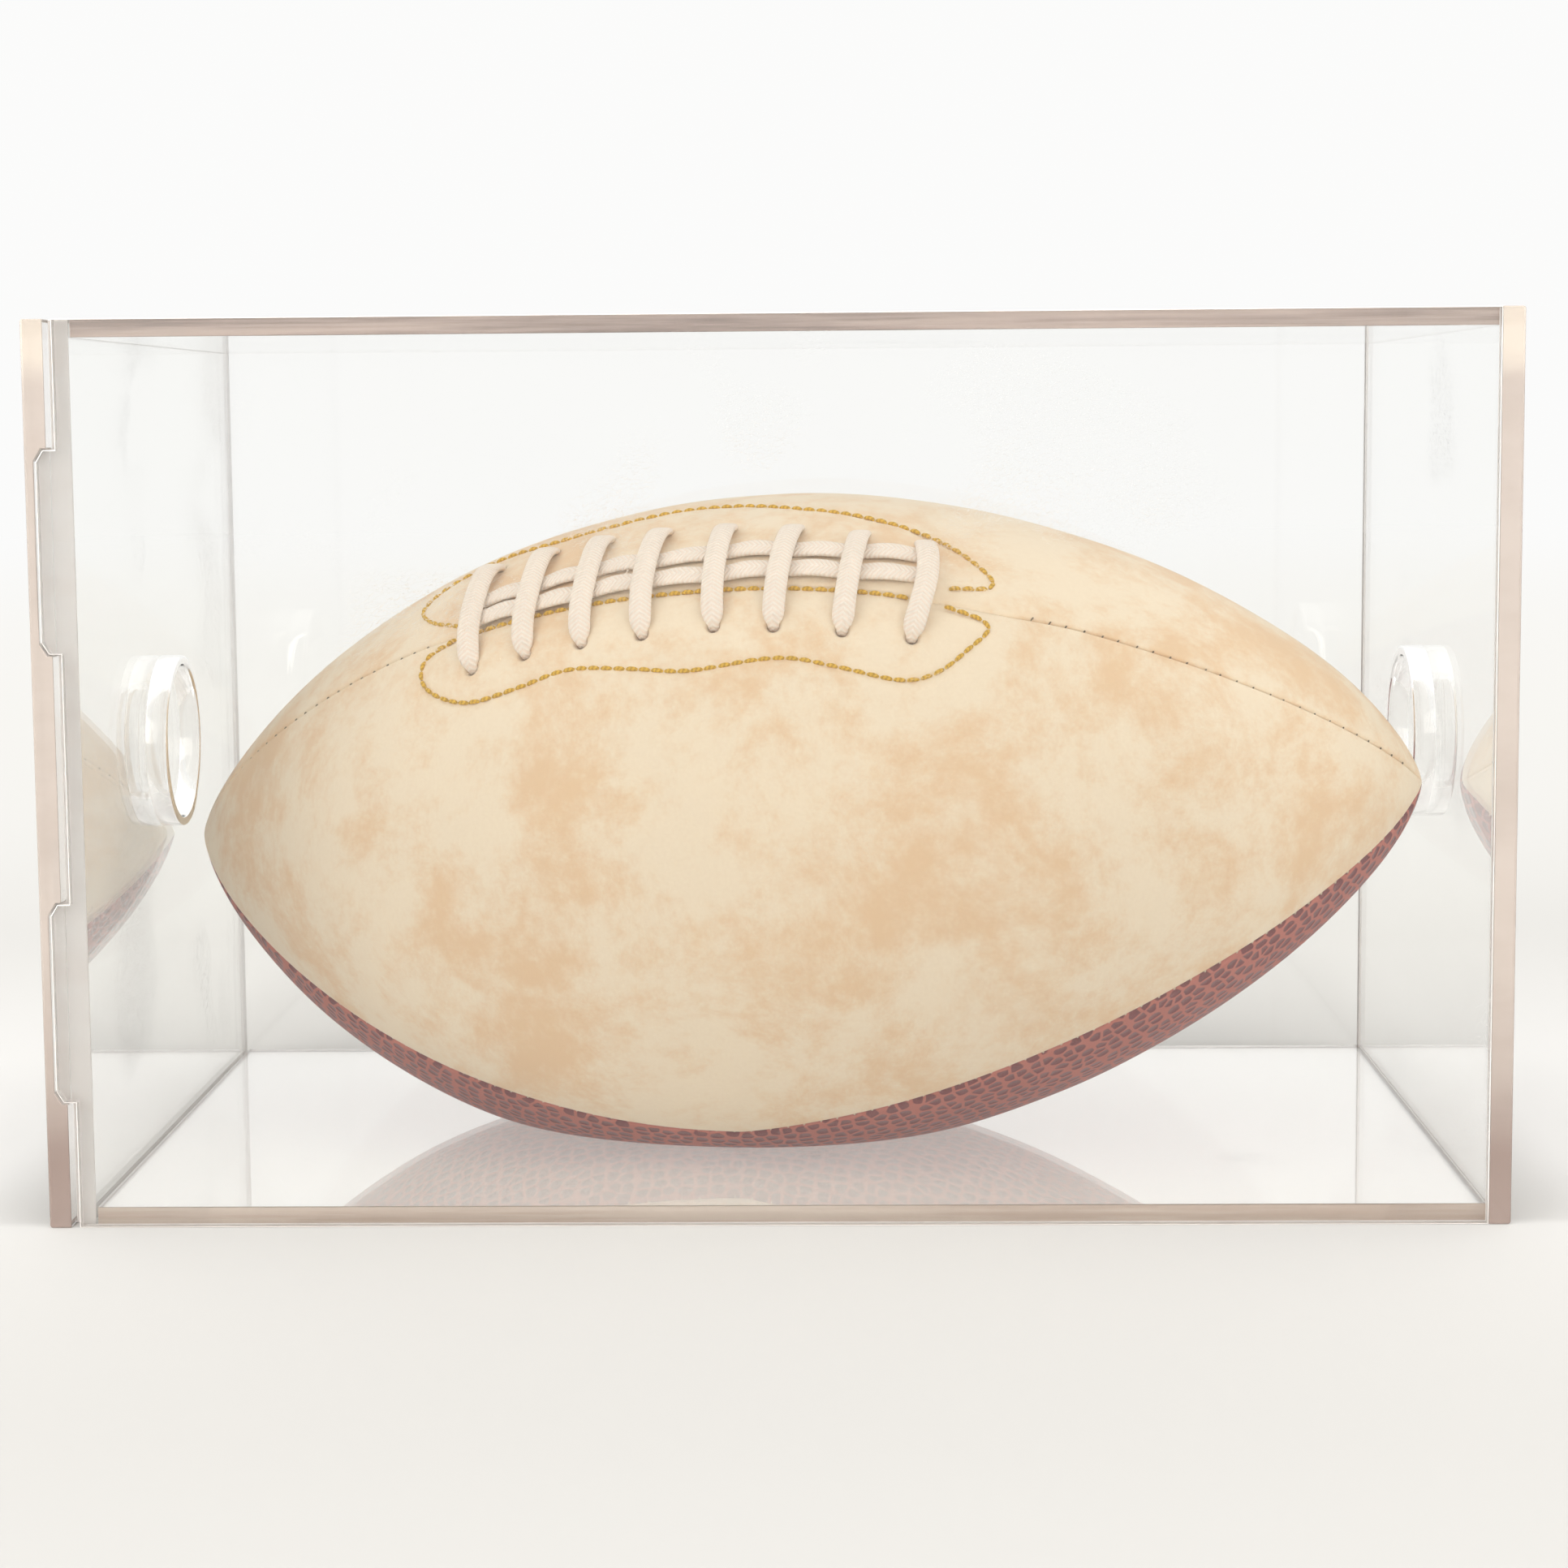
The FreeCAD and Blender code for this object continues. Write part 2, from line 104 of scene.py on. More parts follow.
UPPER_OUTLINE = (
    (-0.452, 50.5), (-0.512, 56.0), (-0.545, 64.0), (-0.520, 72.0), (-0.440, 77.0),
    (-0.345, 75.0), (-0.250, 75.5), (-0.150, 77.5), (-0.050, 77.0), (0.050, 74.0),
    (0.150, 71.5), (0.240, 67.5), (0.317, 61.8), (0.378, 53.0), (0.312, 50.2),
)
FACING_SPAN = (-0.505, 0.375)
LOWER_FACING_REACH = -17.0
UPPER_FACING_REACH = 26.0
TONGUE_SPAN = (-0.46, 0.33)
TONGUE_ANGLES = (41.0, 64.0)
STITCH_LENGTH = 2.6 * MM
STITCH_PITCH = 3.1 * MM
SLIT_ROW = ((-0.440, 47.0), (-0.250, 47.5), (0.0, 47.6), (0.200, 47.3), (0.290, 46.4))
THREAD_R = 0.52 * MM
SEAM_STITCH_PITCH = 4.2 * MM
SEAM_THREAD_R = 0.19 * MM
SEAM_ENDS = (-0.98, 0.98)
HOLE_ROWS = {-1: (0.878, 0.940), 1: (0.140, 0.262)}   # share of each laced panel's width with holes in it
VALVE_STATION = 0.12
VALVE_ANGLE = 112.0

# ---- Cup rings ----
RING_OUTER_R = 21.0 * MM
RING_WALL = 2.4 * MM
RING_LIP_R = 0.7 * MM

# ---- Camera, in millimetres and degrees ----
CAMERA_PLACE = (18.56, -802.68, 177.90)
CAMERA_LENS = 74.84
CAMERA_YAW = 1.309
CAMERA_PITCH = -6.407
CAMERA_ROLL = -0.474


# ================================================================ materials

def node(tree, kind, inputs=None, **settings):
    """Adds a shader node. Inputs are linked where a socket is given and set where a value is."""
    made = tree.nodes.new("ShaderNode" + kind)
    for key, value in settings.items():
        setattr(made, key, value)
    for key, value in (inputs or {}).items():
        if isinstance(value, bpy.types.NodeSocket):
            tree.links.new(value, made.inputs[key])
        else:
            made.inputs[key].default_value = value
    return made


def new_material(name, **shader_values):
    material = bpy.data.materials.new(name)
    material.use_nodes = True
    tree = material.node_tree
    shader = tree.nodes["Principled BSDF"]
    for key, value in shader_values.items():
        shader.inputs[key.replace("_", " ")].default_value = value
    return material, tree, shader


def object_place(tree):
    return node(tree, "TexCoord").outputs["Object"]


def noise_value(tree, place, scale, detail=4.0, roughness=0.55, distortion=0.0):
    inputs = {"Vector": place, "Scale": scale, "Detail": detail, "Roughness": roughness,
              "Distortion": distortion}
    return node(tree, "TexNoise", inputs).outputs["Fac"]


def remap(tree, value, low, high, to_low=0.0, to_high=1.0):
    inputs = {"Value": value, "From Min": low, "From Max": high, "To Min": to_low, "To Max": to_high}
    return node(tree, "MapRange", inputs, interpolation_type="SMOOTHSTEP").outputs["Result"]


def maths(tree, operation, first, second=0.0):
    return node(tree, "Math", {0: first, 1: second}, operation=operation).outputs[0]


def between(tree, value, rise, fall):
    """One between two soft steps, nothing outside."""
    return maths(tree, "MULTIPLY", remap(tree, value, *rise), remap(tree, value, *fall, 1.0, 0.0))


def blend_colour(tree, factor, first, second):
    mixer = node(tree, "Mix", data_type="RGBA")
    for index, value in ((0, factor), (6, first), (7, second)):
        if isinstance(value, bpy.types.NodeSocket):
            tree.links.new(value, mixer.inputs[index])
        else:
            mixer.inputs[index].default_value = value if index == 0 else (*value, 1.0)
    return mixer.outputs[2]


def bump(tree, shader, height, distance, strength=1.0):
    """Bump of a real height, in metres."""
    made = node(tree, "Bump", {"Height": height, "Distance": distance, "Strength": strength})
    tree.links.new(made.outputs["Normal"], shader.inputs["Normal"])


def scratches(tree, place, scale, turn):
    """Sparse fine lines: 1 on a scratch and 0 elsewhere."""
    turned = node(tree, "Mapping", {"Vector": place, "Rotation": turn, "Scale": (1.0, 1.0, 1.0)})
    stretched = node(tree, "Mapping", {"Vector": turned.outputs[0], "Scale": (scale * 0.03, scale, scale)})
    lines = noise_value(tree, stretched.outputs[0], 1.0, detail=1.0)
    thin = remap(tree, maths(tree, "ABSOLUTE", maths(tree, "SUBTRACT", lines, 0.5)), 0.0, 0.006, 1.0, 0.0)
    patches = remap(tree, noise_value(tree, turned.outputs[0], 14.0, detail=2.0), 0.62, 0.68)
    return maths(tree, "MULTIPLY", thin, patches)


def clear_acrylic(name, tint, scratch_level):
    """Cast sheet: clear, with very faint waves and fine scratches."""
    material, tree, shader = new_material(
        name, Transmission_Weight=1.0, IOR=1.49, Roughness=0.0, Specular_IOR_Level=0.5)
    place = object_place(tree)
    lines = maths(tree, "ADD", scratches(tree, place, 900.0, (0.3, 0.2, 0.5)),
                  scratches(tree, place, 700.0, (0.1, 0.9, -0.7)))
    haze = noise_value(tree, place, 30.0, detail=3.0)
    colour = blend_colour(tree, haze, tint, tuple(min(1.0, c * 1.01) for c in tint))
    tree.links.new(colour, shader.inputs["Base Color"])
    rough = maths(tree, "ADD", remap(tree, haze, 0.3, 0.8, 0.0, 0.006),
                  maths(tree, "MULTIPLY", lines, scratch_level))
    tree.links.new(rough, shader.inputs["Roughness"])
    bump(tree, shader, maths(tree, "MULTIPLY", lines, -1.0), 0.02 * MM, 0.6)
    return material


def acrylic_edge(name, light, dark, streaks, roughness, heights=(), clarity=0.55):
    """Polished sheet edge: light guided through the sheet tints it, with saw streaks along it.

    Each of heights is (low z, high z, colour): the tint drifts to that colour between the two.
    The edge passes the share of light that clarity gives, and scatters the rest.
    """
    material, tree, shader = new_material(
        name, Transmission_Weight=clarity, IOR=1.49, Specular_IOR_Level=0.5)
    place = object_place(tree)
    along = node(tree, "Mapping", {"Vector": place, "Scale": streaks}).outputs[0]
    bands = noise_value(tree, along, 1.0, detail=5.0, roughness=0.6)
    colour = blend_colour(tree, remap(tree, bands, 0.36, 0.70), light, dark)
    level = node(tree, "SeparateXYZ", {0: place}).outputs[2]
    drift = maths(tree, "MULTIPLY", maths(tree, "SUBTRACT", bands, 0.5), 12 * MM)
    wander = maths(tree, "ADD", level, drift)
    for low, high, tint in heights:
        colour = blend_colour(tree, remap(tree, wander, low, high), colour, tint)
    tree.links.new(colour, shader.inputs["Base Color"])
    tree.links.new(remap(tree, bands, 0.3, 0.7, roughness * 0.4, roughness), shader.inputs["Roughness"])
    bump(tree, shader, bands, 0.03 * MM, 0.5)
    return material


def cream_leather():
    """Smooth suede-like leather, clouded with tan."""
    material, tree, shader = new_material(
        "cream_leather", Sheen_Weight=0.18, Sheen_Roughness=0.5, Specular_IOR_Level=0.25)
    place = object_place(tree)
    clouds = noise_value(tree, place, 27.0, detail=12.0, roughness=0.74, distortion=0.2)
    spots = noise_value(tree, place, 75.0, detail=9.0, roughness=0.78)
    nap = noise_value(tree, place, 1500.0, detail=3.0)
    depth = maths(tree, "ADD", maths(tree, "MULTIPLY", clouds, 0.72), maths(tree, "MULTIPLY", spots, 0.28))
    tan = remap(tree, depth, 0.44, 0.60)
    colour = blend_colour(tree, tan, (0.945, 0.800, 0.600), (0.865, 0.615, 0.375))
    worn = remap(tree, noise_value(tree, place, 90.0, detail=6.0, roughness=0.75), 0.60, 0.78, 0.0, 0.35)
    colour = blend_colour(tree, worn, colour, (0.965, 0.840, 0.660))
    grained = blend_colour(tree, remap(tree, nap, 0.3, 0.75, 0.0, 0.12), colour, (0.76, 0.56, 0.36))
    # painted shade: the leather is darkened to deep brown at each lace hole, standing in for the shade
    # inside the hole
    hole_shade = node(tree, "Attribute", attribute_name="hole_shade").outputs["Fac"]
    hole_shaded = blend_colour(tree, maths(tree, "MULTIPLY", hole_shade, 0.9), grained, (0.20, 0.105, 0.055))
    tree.links.new(hole_shaded, shader.inputs["Base Color"])
    tree.links.new(remap(tree, nap, 0.2, 0.8, 0.70, 0.86), shader.inputs["Roughness"])
    creases = noise_value(tree, place, 260.0, detail=5.0, roughness=0.6)
    height = maths(tree, "ADD", maths(tree, "MULTIPLY", creases, 0.7), maths(tree, "MULTIPLY", nap, 0.3))
    bump(tree, shader, height, 0.25 * MM, 0.45)
    return material


def brown_leather():
    """Pebbled leather: dark rounded pebbles on a lighter red-brown ground."""
    material, tree, shader = new_material("brown_leather", Specular_IOR_Level=0.3)
    surface = node(tree, "UVMap", uv_map="surface").outputs[0]
    wander = node(tree, "TexNoise", {"Vector": surface, "Scale": 160.0, "Detail": 2.0}).outputs["Color"]
    shift = node(tree, "VectorMath", {0: wander, 1: (0.0005,) * 3}, operation="MULTIPLY").outputs[0]
    moved = node(tree, "VectorMath", {0: surface, 1: shift}, operation="ADD").outputs[0]
    scaled = node(tree, "Mapping", {"Vector": moved, "Scale": (265.0, 300.0, 1.0)}).outputs[0]
    inputs = {"Vector": scaled, "Scale": 1.0, "Randomness": 0.62}
    cells = node(tree, "TexVoronoi", inputs, voronoi_dimensions="2D", feature="F1").outputs["Distance"]
    edges = node(tree, "TexVoronoi", inputs, voronoi_dimensions="2D",
                 feature="DISTANCE_TO_EDGE").outputs["Distance"]
    pebble = maths(tree, "MULTIPLY", remap(tree, edges, 0.07, 0.15),
                   remap(tree, cells, 0.42, 0.54, 1.0, 0.0))
    place = object_place(tree)
    shade = noise_value(tree, place, 60.0, detail=4.0)
    ground = blend_colour(tree, shade, (0.580, 0.205, 0.160), (0.480, 0.160, 0.128))
    top = blend_colour(tree, shade, (0.235, 0.068, 0.068), (0.190, 0.052, 0.055))
    tree.links.new(blend_colour(tree, pebble, ground, top), shader.inputs["Base Color"])
    tree.links.new(remap(tree, pebble, 0.0, 1.0, 0.62, 0.42), shader.inputs["Roughness"])
    grain = noise_value(tree, place, 1400.0, detail=2.0)
    dome = maths(tree, "MULTIPLY", remap(tree, edges, 0.0, 0.30),
                 remap(tree, cells, 0.1, 0.6, 1.0, 0.0))
    bump(tree, shader, maths(tree, "ADD", dome, maths(tree, "MULTIPLY", grain, 0.12)), 0.35 * MM, 0.8)
    return material


def braid(name, light, dark, pitch, depth):
    """Braided or twisted yarn: chevrons along the piece, from its own length and width."""
    material, tree, shader = new_material(
        name, Sheen_Weight=0.25, Sheen_Roughness=0.4, Specular_IOR_Level=0.2)
    surface = node(tree, "UVMap", uv_map="surface").outputs[0]
    parts = node(tree, "SeparateXYZ", {0: surface})
    side = maths(tree, "ABSOLUTE", parts.outputs[1])
    run = maths(tree, "ADD", parts.outputs[0], maths(tree, "MULTIPLY", side, 0.7))
    wave = maths(tree, "SINE", maths(tree, "MULTIPLY", run, 2 * math.pi / pitch))
    across = maths(tree, "SINE", maths(tree, "MULTIPLY", side, 2 * math.pi / pitch * 0.9))
    weave = maths(tree, "ADD", maths(tree, "MULTIPLY", wave, 0.8), maths(tree, "MULTIPLY", across, 0.2))
    soft = remap(tree, weave, -1.0, 1.0)
    fuzz = noise_value(tree, object_place(tree), 900.0, detail=4.0)
    tone = maths(tree, "ADD", maths(tree, "MULTIPLY", soft, 0.75), maths(tree, "MULTIPLY", fuzz, 0.25))
    tree.links.new(blend_colour(tree, tone, dark, light), shader.inputs["Base Color"])
    tree.links.new(remap(tree, fuzz, 0.2, 0.8, 0.75, 0.95), shader.inputs["Roughness"])
    bump(tree, shader, maths(tree, "ADD", soft, maths(tree, "MULTIPLY", fuzz, 0.4)), depth, 0.8)
    return material


def plain_soft(name, light, dark, scale, depth, roughness):
    """A material with a fine grain of its own, for the hidden layers, rubber and split leather."""
    material, tree, shader = new_material(name, Specular_IOR_Level=0.3)
    place = object_place(tree)
    grain = noise_value(tree, place, scale, detail=5.0, roughness=0.6)
    tree.links.new(blend_colour(tree, grain, light, dark), shader.inputs["Base Color"])
    rough = remap(tree, grain, 0.2, 0.8, roughness - 0.08, roughness + 0.08)
    tree.links.new(rough, shader.inputs["Roughness"])
    bump(tree, shader, grain, depth, 0.6)
    return material


def backdrop_paper():
    """Pale paper floor that fades into the background far from the case, with painted light on it under,
    beside and in front of the case.
    """
    material, tree, shader = new_material("backdrop_paper", Specular_IOR_Level=0.0, Roughness=1.0)
    place = object_place(tree)
    distance = node(tree, "VectorMath", {0: place}, operation="LENGTH").outputs["Value"]
    near_far = blend_colour(tree, remap(tree, distance, 0.25, 0.80), FLOOR_NEAR, FLOOR_FAR)
    parts = node(tree, "SeparateXYZ", {0: place})
    x, y = parts.outputs[0], parts.outputs[1]
    aside = maths(tree, "ABSOLUTE", x)

    base_x = between(tree, x, BASE_LEFT, BASE_RIGHT)
    base_y = remap(tree, maths(tree, "ABSOLUTE", y), *BASE_FRONT, 1.0, 0.0)
    under = maths(tree, "MULTIPLY", base_x, base_y)
    sweep_up = remap(tree, distance, 0.9, 4.5)
    paper = blend_colour(tree, sweep_up, near_far, (0.0, 0.0, 0.0))
    # painted light: the floor under the case is given a paler colour
    tree.links.new(blend_colour(tree, under, paper, FLOOR_UNDER), shader.inputs["Base Color"])
    glow = blend_colour(tree, under, BACKDROP, (1.0, 0.985, 0.96))
    tree.links.new(glow, shader.inputs["Emission Color"])

    # painted light: the floor glows under the case, beside it and in front of it, filling the shade that
    # the clear sheets cast
    strength = maths(tree, "ADD", sweep_up, maths(tree, "MULTIPLY", under, UNDER_GLOW))
    beside = between(tree, aside, (0.160, 0.190), (0.20, 0.48))
    level_with = between(tree, y, (-0.16, -0.02), (0.02, 0.36))
    before = between(tree, y, (-0.26, -0.10), (-0.096, -0.090))
    side_fill = maths(tree, "MULTIPLY", maths(tree, "MULTIPLY", beside, level_with), SIDE_GLOW)
    strength = maths(tree, "ADD", strength, side_fill)
    strength = maths(tree, "ADD", strength, maths(tree, "MULTIPLY", before, FRONT_GLOW))
    tree.links.new(strength, shader.inputs["Emission Strength"])
    bump(tree, shader, noise_value(tree, place, 900.0, detail=3.0), 0.02 * MM, 0.3)
    return material


BASE_LEFT = (-0.1525, -0.1505)       # the base panel's outline on the floor, each edge a soft step
BASE_RIGHT = (0.155, 0.157)
BASE_FRONT = (0.090, 0.092)
FLOOR_NEAR = (0.600, 0.592, 0.579)
FLOOR_FAR = (0.610, 0.608, 0.600)
BACKDROP = (0.966, 0.966, 0.960)     # the paper fades into this far from the case
# painted light: the floor under the case is paler than the paper round it
FLOOR_UNDER = (0.900, 0.890, 0.865)
SIDE_GLOW = 0.24          # clear sheets pass light on to the floor round the case, and soft shadows miss it
# painted light: the floor in front of the case glows a little
FRONT_GLOW = 0.08
UNDER_GLOW = 0.56         # makes up for the light that the clear base keeps off the floor

CLEAR = clear_acrylic("clear_acrylic", (0.985, 0.985, 0.978), 0.25)
RING_CLEAR = clear_acrylic("ring_acrylic", (0.935, 0.930, 0.922), 0.12)
# painted light: each edge colour stands in for the light carried through its sheet, and the end plates'
# edges are painted darker near the bottom and paler near the top
EDGE_PLATE = acrylic_edge(
    "edge_plate", (0.72, 0.63, 0.57), (0.66, 0.57, 0.51), (25.0, 25.0, 60.0), 0.10,
    ((38 * MM, 14 * MM, (0.42, 0.32, 0.28)), (186 * MM, 192 * MM, (0.88, 0.78, 0.68))))
EDGE_WALL = acrylic_edge("edge_wall", (0.97, 0.94, 0.92), (0.93, 0.88, 0.85), (25.0, 25.0, 90.0), 0.06,
                         clarity=0.25)
EDGE_TOP = acrylic_edge("edge_top", (0.88, 0.72, 0.64), (0.38, 0.30, 0.27), (14.0, 60.0, 500.0), 0.12)
EDGE_BASE = acrylic_edge("edge_base", (0.95, 0.81, 0.70), (0.76, 0.60, 0.50), (14.0, 60.0, 500.0), 0.12)
CREAM = cream_leather()
BROWN = brown_leather()
LACE = braid("lace_braid", (1.000, 0.910, 0.800), (0.965, 0.800, 0.660), 1.1 * MM, 0.18 * MM)
GOLD = braid("gold_thread", (0.860, 0.540, 0.055), (0.500, 0.265, 0.015), 0.9 * MM, 0.08 * MM)
DARK_THREAD = braid("dark_seam_thread", (0.260, 0.200, 0.120), (0.130, 0.100, 0.060), 0.8 * MM, 0.05 * MM)
PALE_THREAD = braid("pale_seam_thread", (0.800, 0.690, 0.520), (0.550, 0.430, 0.300), 0.8 * MM, 0.05 * MM)
LINING = plain_soft("lining_cloth", (0.60, 0.55, 0.46), (0.48, 0.44, 0.36), 1200.0, 0.1 * MM, 0.85)
SPLIT = plain_soft("facing_leather", (0.62, 0.44, 0.28), (0.50, 0.34, 0.21), 700.0, 0.1 * MM, 0.8)
RUBBER = plain_soft("bladder_rubber", (0.035, 0.033, 0.033), (0.022, 0.021, 0.021), 500.0, 0.05 * MM, 0.6)
VALVE_RUBBER = plain_soft("valve_rubber", (0.050, 0.045, 0.043), (0.030, 0.028, 0.028),
                          900.0, 0.04 * MM, 0.55)


# ================================================================ pieces

def new_piece(name, mesh, materials, body, replaced=()):
    """Puts a mesh in the scene as a piece of the object."""
    piece = bpy.data.objects.new(name, mesh)
    bpy.context.scene.collection.objects.link(piece)
    for material in materials:
        mesh.materials.append(material)
    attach(piece, body)
    if replaced:
        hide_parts(*replaced)
    return piece


def mesh_from(name, points, faces, uvs=None, smooth=True):
    mesh = bpy.data.meshes.new(name)
    mesh.from_pydata([tuple(p) for p in points], [], faces)
    if uvs is not None:
        layer = mesh.uv_layers.new(name="surface")
        corners = np.empty(len(mesh.loops), dtype=np.int32)
        mesh.loops.foreach_get("vertex_index", corners)
        layer.data.foreach_set("uv", np.asarray(uvs, dtype=np.float32)[corners].ravel())
    mesh.polygons.foreach_set("use_smooth", [smooth] * len(mesh.polygons))
    mesh.update()
    return mesh


def grid_faces(columns, rows, start=0, flip=False, wrap_rows=False):
    """Quads of a grid numbered column by column."""
    faces = []
    last_row = rows if wrap_rows else rows - 1
    for i in range(columns - 1):
        for j in range(last_row):
            k = (j + 1) % rows
            quad = (start + i * rows + j, start + (i + 1) * rows + j,
                    start + (i + 1) * rows + k, start + i * rows + k)
            faces.append(quad[::-1] if flip else quad)
    return faces


# ---------------------------------------------------------------- case

SHEET_GAP = 0.02 * MM     # hairline between cemented sheets
SHEET_BEVEL = 0.22 * MM
OUTLINE_BAND = 0.6 * MM   # an end plate's edge face further in than this belongs to a notch


def acrylic_sheet(name, thin_axis, edge_material, body):
    """A sheet with softened edges, cut to the CAD sheet's own outline."""
    shape = bmesh.new()
    shape.from_mesh(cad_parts[name].data)
    bmesh.ops.remove_doubles(shape, verts=shape.verts, dist=1e-6)
    bmesh.ops.dissolve_limit(shape, angle_limit=math.radians(0.5), verts=shape.verts, edges=shape.edges)
    shape.normal_update()
    moves = {}
    for vert in shape.verts:
        facing = {tuple(round(c, 3) for c in face.normal) for face in vert.link_faces}
        moves[vert] = sum((Vector(n) for n in facing), Vector()) * SHEET_GAP
    for vert, move in moves.items():
        vert.co -= move
    sharp = [e for e in shape.edges if len(e.link_faces) == 2 and e.calc_face_angle() > math.radians(30)]
    bmesh.ops.bevel(shape, geom=sharp, offset=SHEET_BEVEL, segments=2, affect="EDGES", profile=0.5)
    shape.normal_update()
    low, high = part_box(name)
    for face in shape.faces:
        middle = face.calc_center_median()
        cemented = thin_axis == 2 and abs(face.normal.x) > 0.5
        inside_y = abs(middle.y) < high.y - OUTLINE_BAND
        inside_z = low.z + OUTLINE_BAND < middle.z < high.z - OUTLINE_BAND
        notched = thin_axis == 0 and inside_y and inside_z
        if abs(face.normal[thin_axis]) > 0.99:
            face.material_index = 0
        else:
            face.material_index = 2 if cemented or notched else 1
        face.smooth = False
    mesh = bpy.data.meshes.new(name)
    shape.to_mesh(mesh)
    shape.free()
    materials = [CLEAR, edge_material, EDGE_WALL]
    return new_piece(name + "_sheet", mesh, materials, body, [name])


def cup_ring(name, body):
    """A short tube turned about X, with a rounded free rim and a fine polished base edge."""
    low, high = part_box(name)
    centre_y, centre_z = (low.y + high.y) / 2, (low.z + high.z) / 2
    towards = 1 if centre_y < -MM else -1
    face_x, rim_x = (low.x, high.x) if towards > 0 else (high.x, low.x)
    face_x += towards * SHEET_GAP
    outer, inner = RING_OUTER_R, RING_OUTER_R - RING_WALL
    profile = [(inner + 0.1 * MM, face_x), (outer - 0.1 * MM, face_x), (outer, face_x + towards * 0.1 * MM)]
    quarter = [math.pi / 2 * step / 6 for step in range(7)]
    for turn in quarter:
        short, back = RING_LIP_R * (1 - math.cos(turn)), RING_LIP_R * (1 - math.sin(turn))
        profile.append((outer - short, rim_x - towards * back))
    for turn in reversed(quarter):
        short, back = RING_LIP_R * (1 - math.cos(turn)), RING_LIP_R * (1 - math.sin(turn))
        profile.append((inner + short, rim_x - towards * back))
    profile.append((inner, face_x + towards * 0.1 * MM))
    steps = 128
    points = []
    for i in range(steps):
        turn = 2 * math.pi * i / steps
        for radius, x in profile:
            points.append((x, centre_y + radius * math.cos(turn), centre_z + radius * math.sin(turn)))
    faces = []
    count = len(profile)
    for i in range(steps):
        for j in range(count):
            a, b = i * count, ((i + 1) % steps) * count
            quad = (a + j, b + j, b + (j + 1) % count, a + (j + 1) % count)
            faces.append(quad[::-1] if towards > 0 else quad)
    mesh = mesh_from(name, points, faces)
    return new_piece(name + "_tube", mesh, [RING_CLEAR], body, [name])


def build_case():
    acrylic_sheet("base_panel", 2, EDGE_BASE, "case")
    acrylic_sheet("top_panel", 2, EDGE_TOP, "case")
    for name in ("front_panel", "back_panel"):
        acrylic_sheet(name, 1, EDGE_WALL, "case")
    acrylic_sheet("fixed_end_panel", 0, EDGE_PLATE, "case")
    acrylic_sheet("door_outer_plate", 0, EDGE_PLATE, "end_door")
    acrylic_sheet("door_plug_plate", 0, EDGE_WALL, "end_door")
    cup_ring("fixed_end_cup_ring", "case")
    cup_ring("door_cup_ring", "end_door")


# ---------------------------------------------------------------- ball surface

def taper(station):
    """Radius of the section at a station, as a share of the middle's."""
    left = np.maximum(1e-9, 1 - np.abs(station) ** LEFT_TAPER[0]) ** LEFT_TAPER[1]
    right = np.maximum(1e-9, 1 - np.abs(station) ** RIGHT_TAPER[0]) ** RIGHT_TAPER[1]
    return np.where(station < 0, left, right)


def ball_point(station, angle, inset=0.0):
    """Points of the ball's surface. Angle 0 faces the front and 90 is the crown."""
    station, angle = np.broadcast_arrays(np.asarray(station, float), np.asarray(angle, float))
    along = station * (np.where(station < 0, BALL_LEFT, BALL_RIGHT) - TIP_INSET_FACTOR * inset)
    share = taper(station)
    cosine, sine = -np.cos(np.radians(angle)), np.sin(np.radians(angle))
    lower = sine < 0
    power = np.where(lower, BELLY_SQUARENESS, 1.0)
    reach = np.where(lower, BALL_DROP, BALL_RISE) - inset
    across = (BALL_HALF_WIDTH - inset) * share * np.sign(cosine) * np.abs(cosine) ** power
    rise = reach * share * np.sign(sine) * np.abs(sine) ** power
    height = BALL_CENTRE[2] + math.tan(BALL_TILT) * along + rise
    above = height - (FLOOR_Z + inset)
    height = FLOOR_Z + inset + 0.5 * (above + np.sqrt(above ** 2 + 4 * FLAT_BLEND ** 2))
    x = BALL_CENTRE[0] + along * math.cos(BALL_HEADING) - across * math.sin(BALL_HEADING)
    y = BALL_CENTRE[1] + along * math.sin(BALL_HEADING) + across * math.cos(BALL_HEADING)
    return np.stack([x, y, height], axis=-1)


def ball_normal(station, angle):
    """Outward unit normals of the ball's surface."""
    station, angle = np.broadcast_arrays(np.asarray(station, float), np.asarray(angle, float))
    near = np.clip(station, -0.994, 0.994)
    along = ball_point(near + 0.003, angle) - ball_point(near - 0.003, angle)
    round_it = ball_point(near, angle + 0.3) - ball_point(near, angle - 0.3)
    normal = np.cross(round_it, along)
    normal /= np.linalg.norm(normal, axis=-1, keepdims=True) + 1e-12
    outward = ball_point(near, angle) - np.array(BALL_CENTRE)
    return normal if float(np.sum(normal * outward)) >= 0 else -normal


def seam_angle(seam, station):
    middle, left, right, power = seam
    return middle + np.where(station < 0, left, right) * np.abs(station) ** power


def near_points(points, targets, reach):
    """Distance from each point to the nearest target, no more than reach."""
    tree = KDTree(len(targets))
    for index, target in enumerate(targets):
        tree.insert(Vector(target), index)
    tree.balance()
    flat = points.reshape(-1, 3)
    distances = np.array([min(reach, tree.find(Vector(p))[2]) for p in flat])
    return distances.reshape(points.shape[:-1])


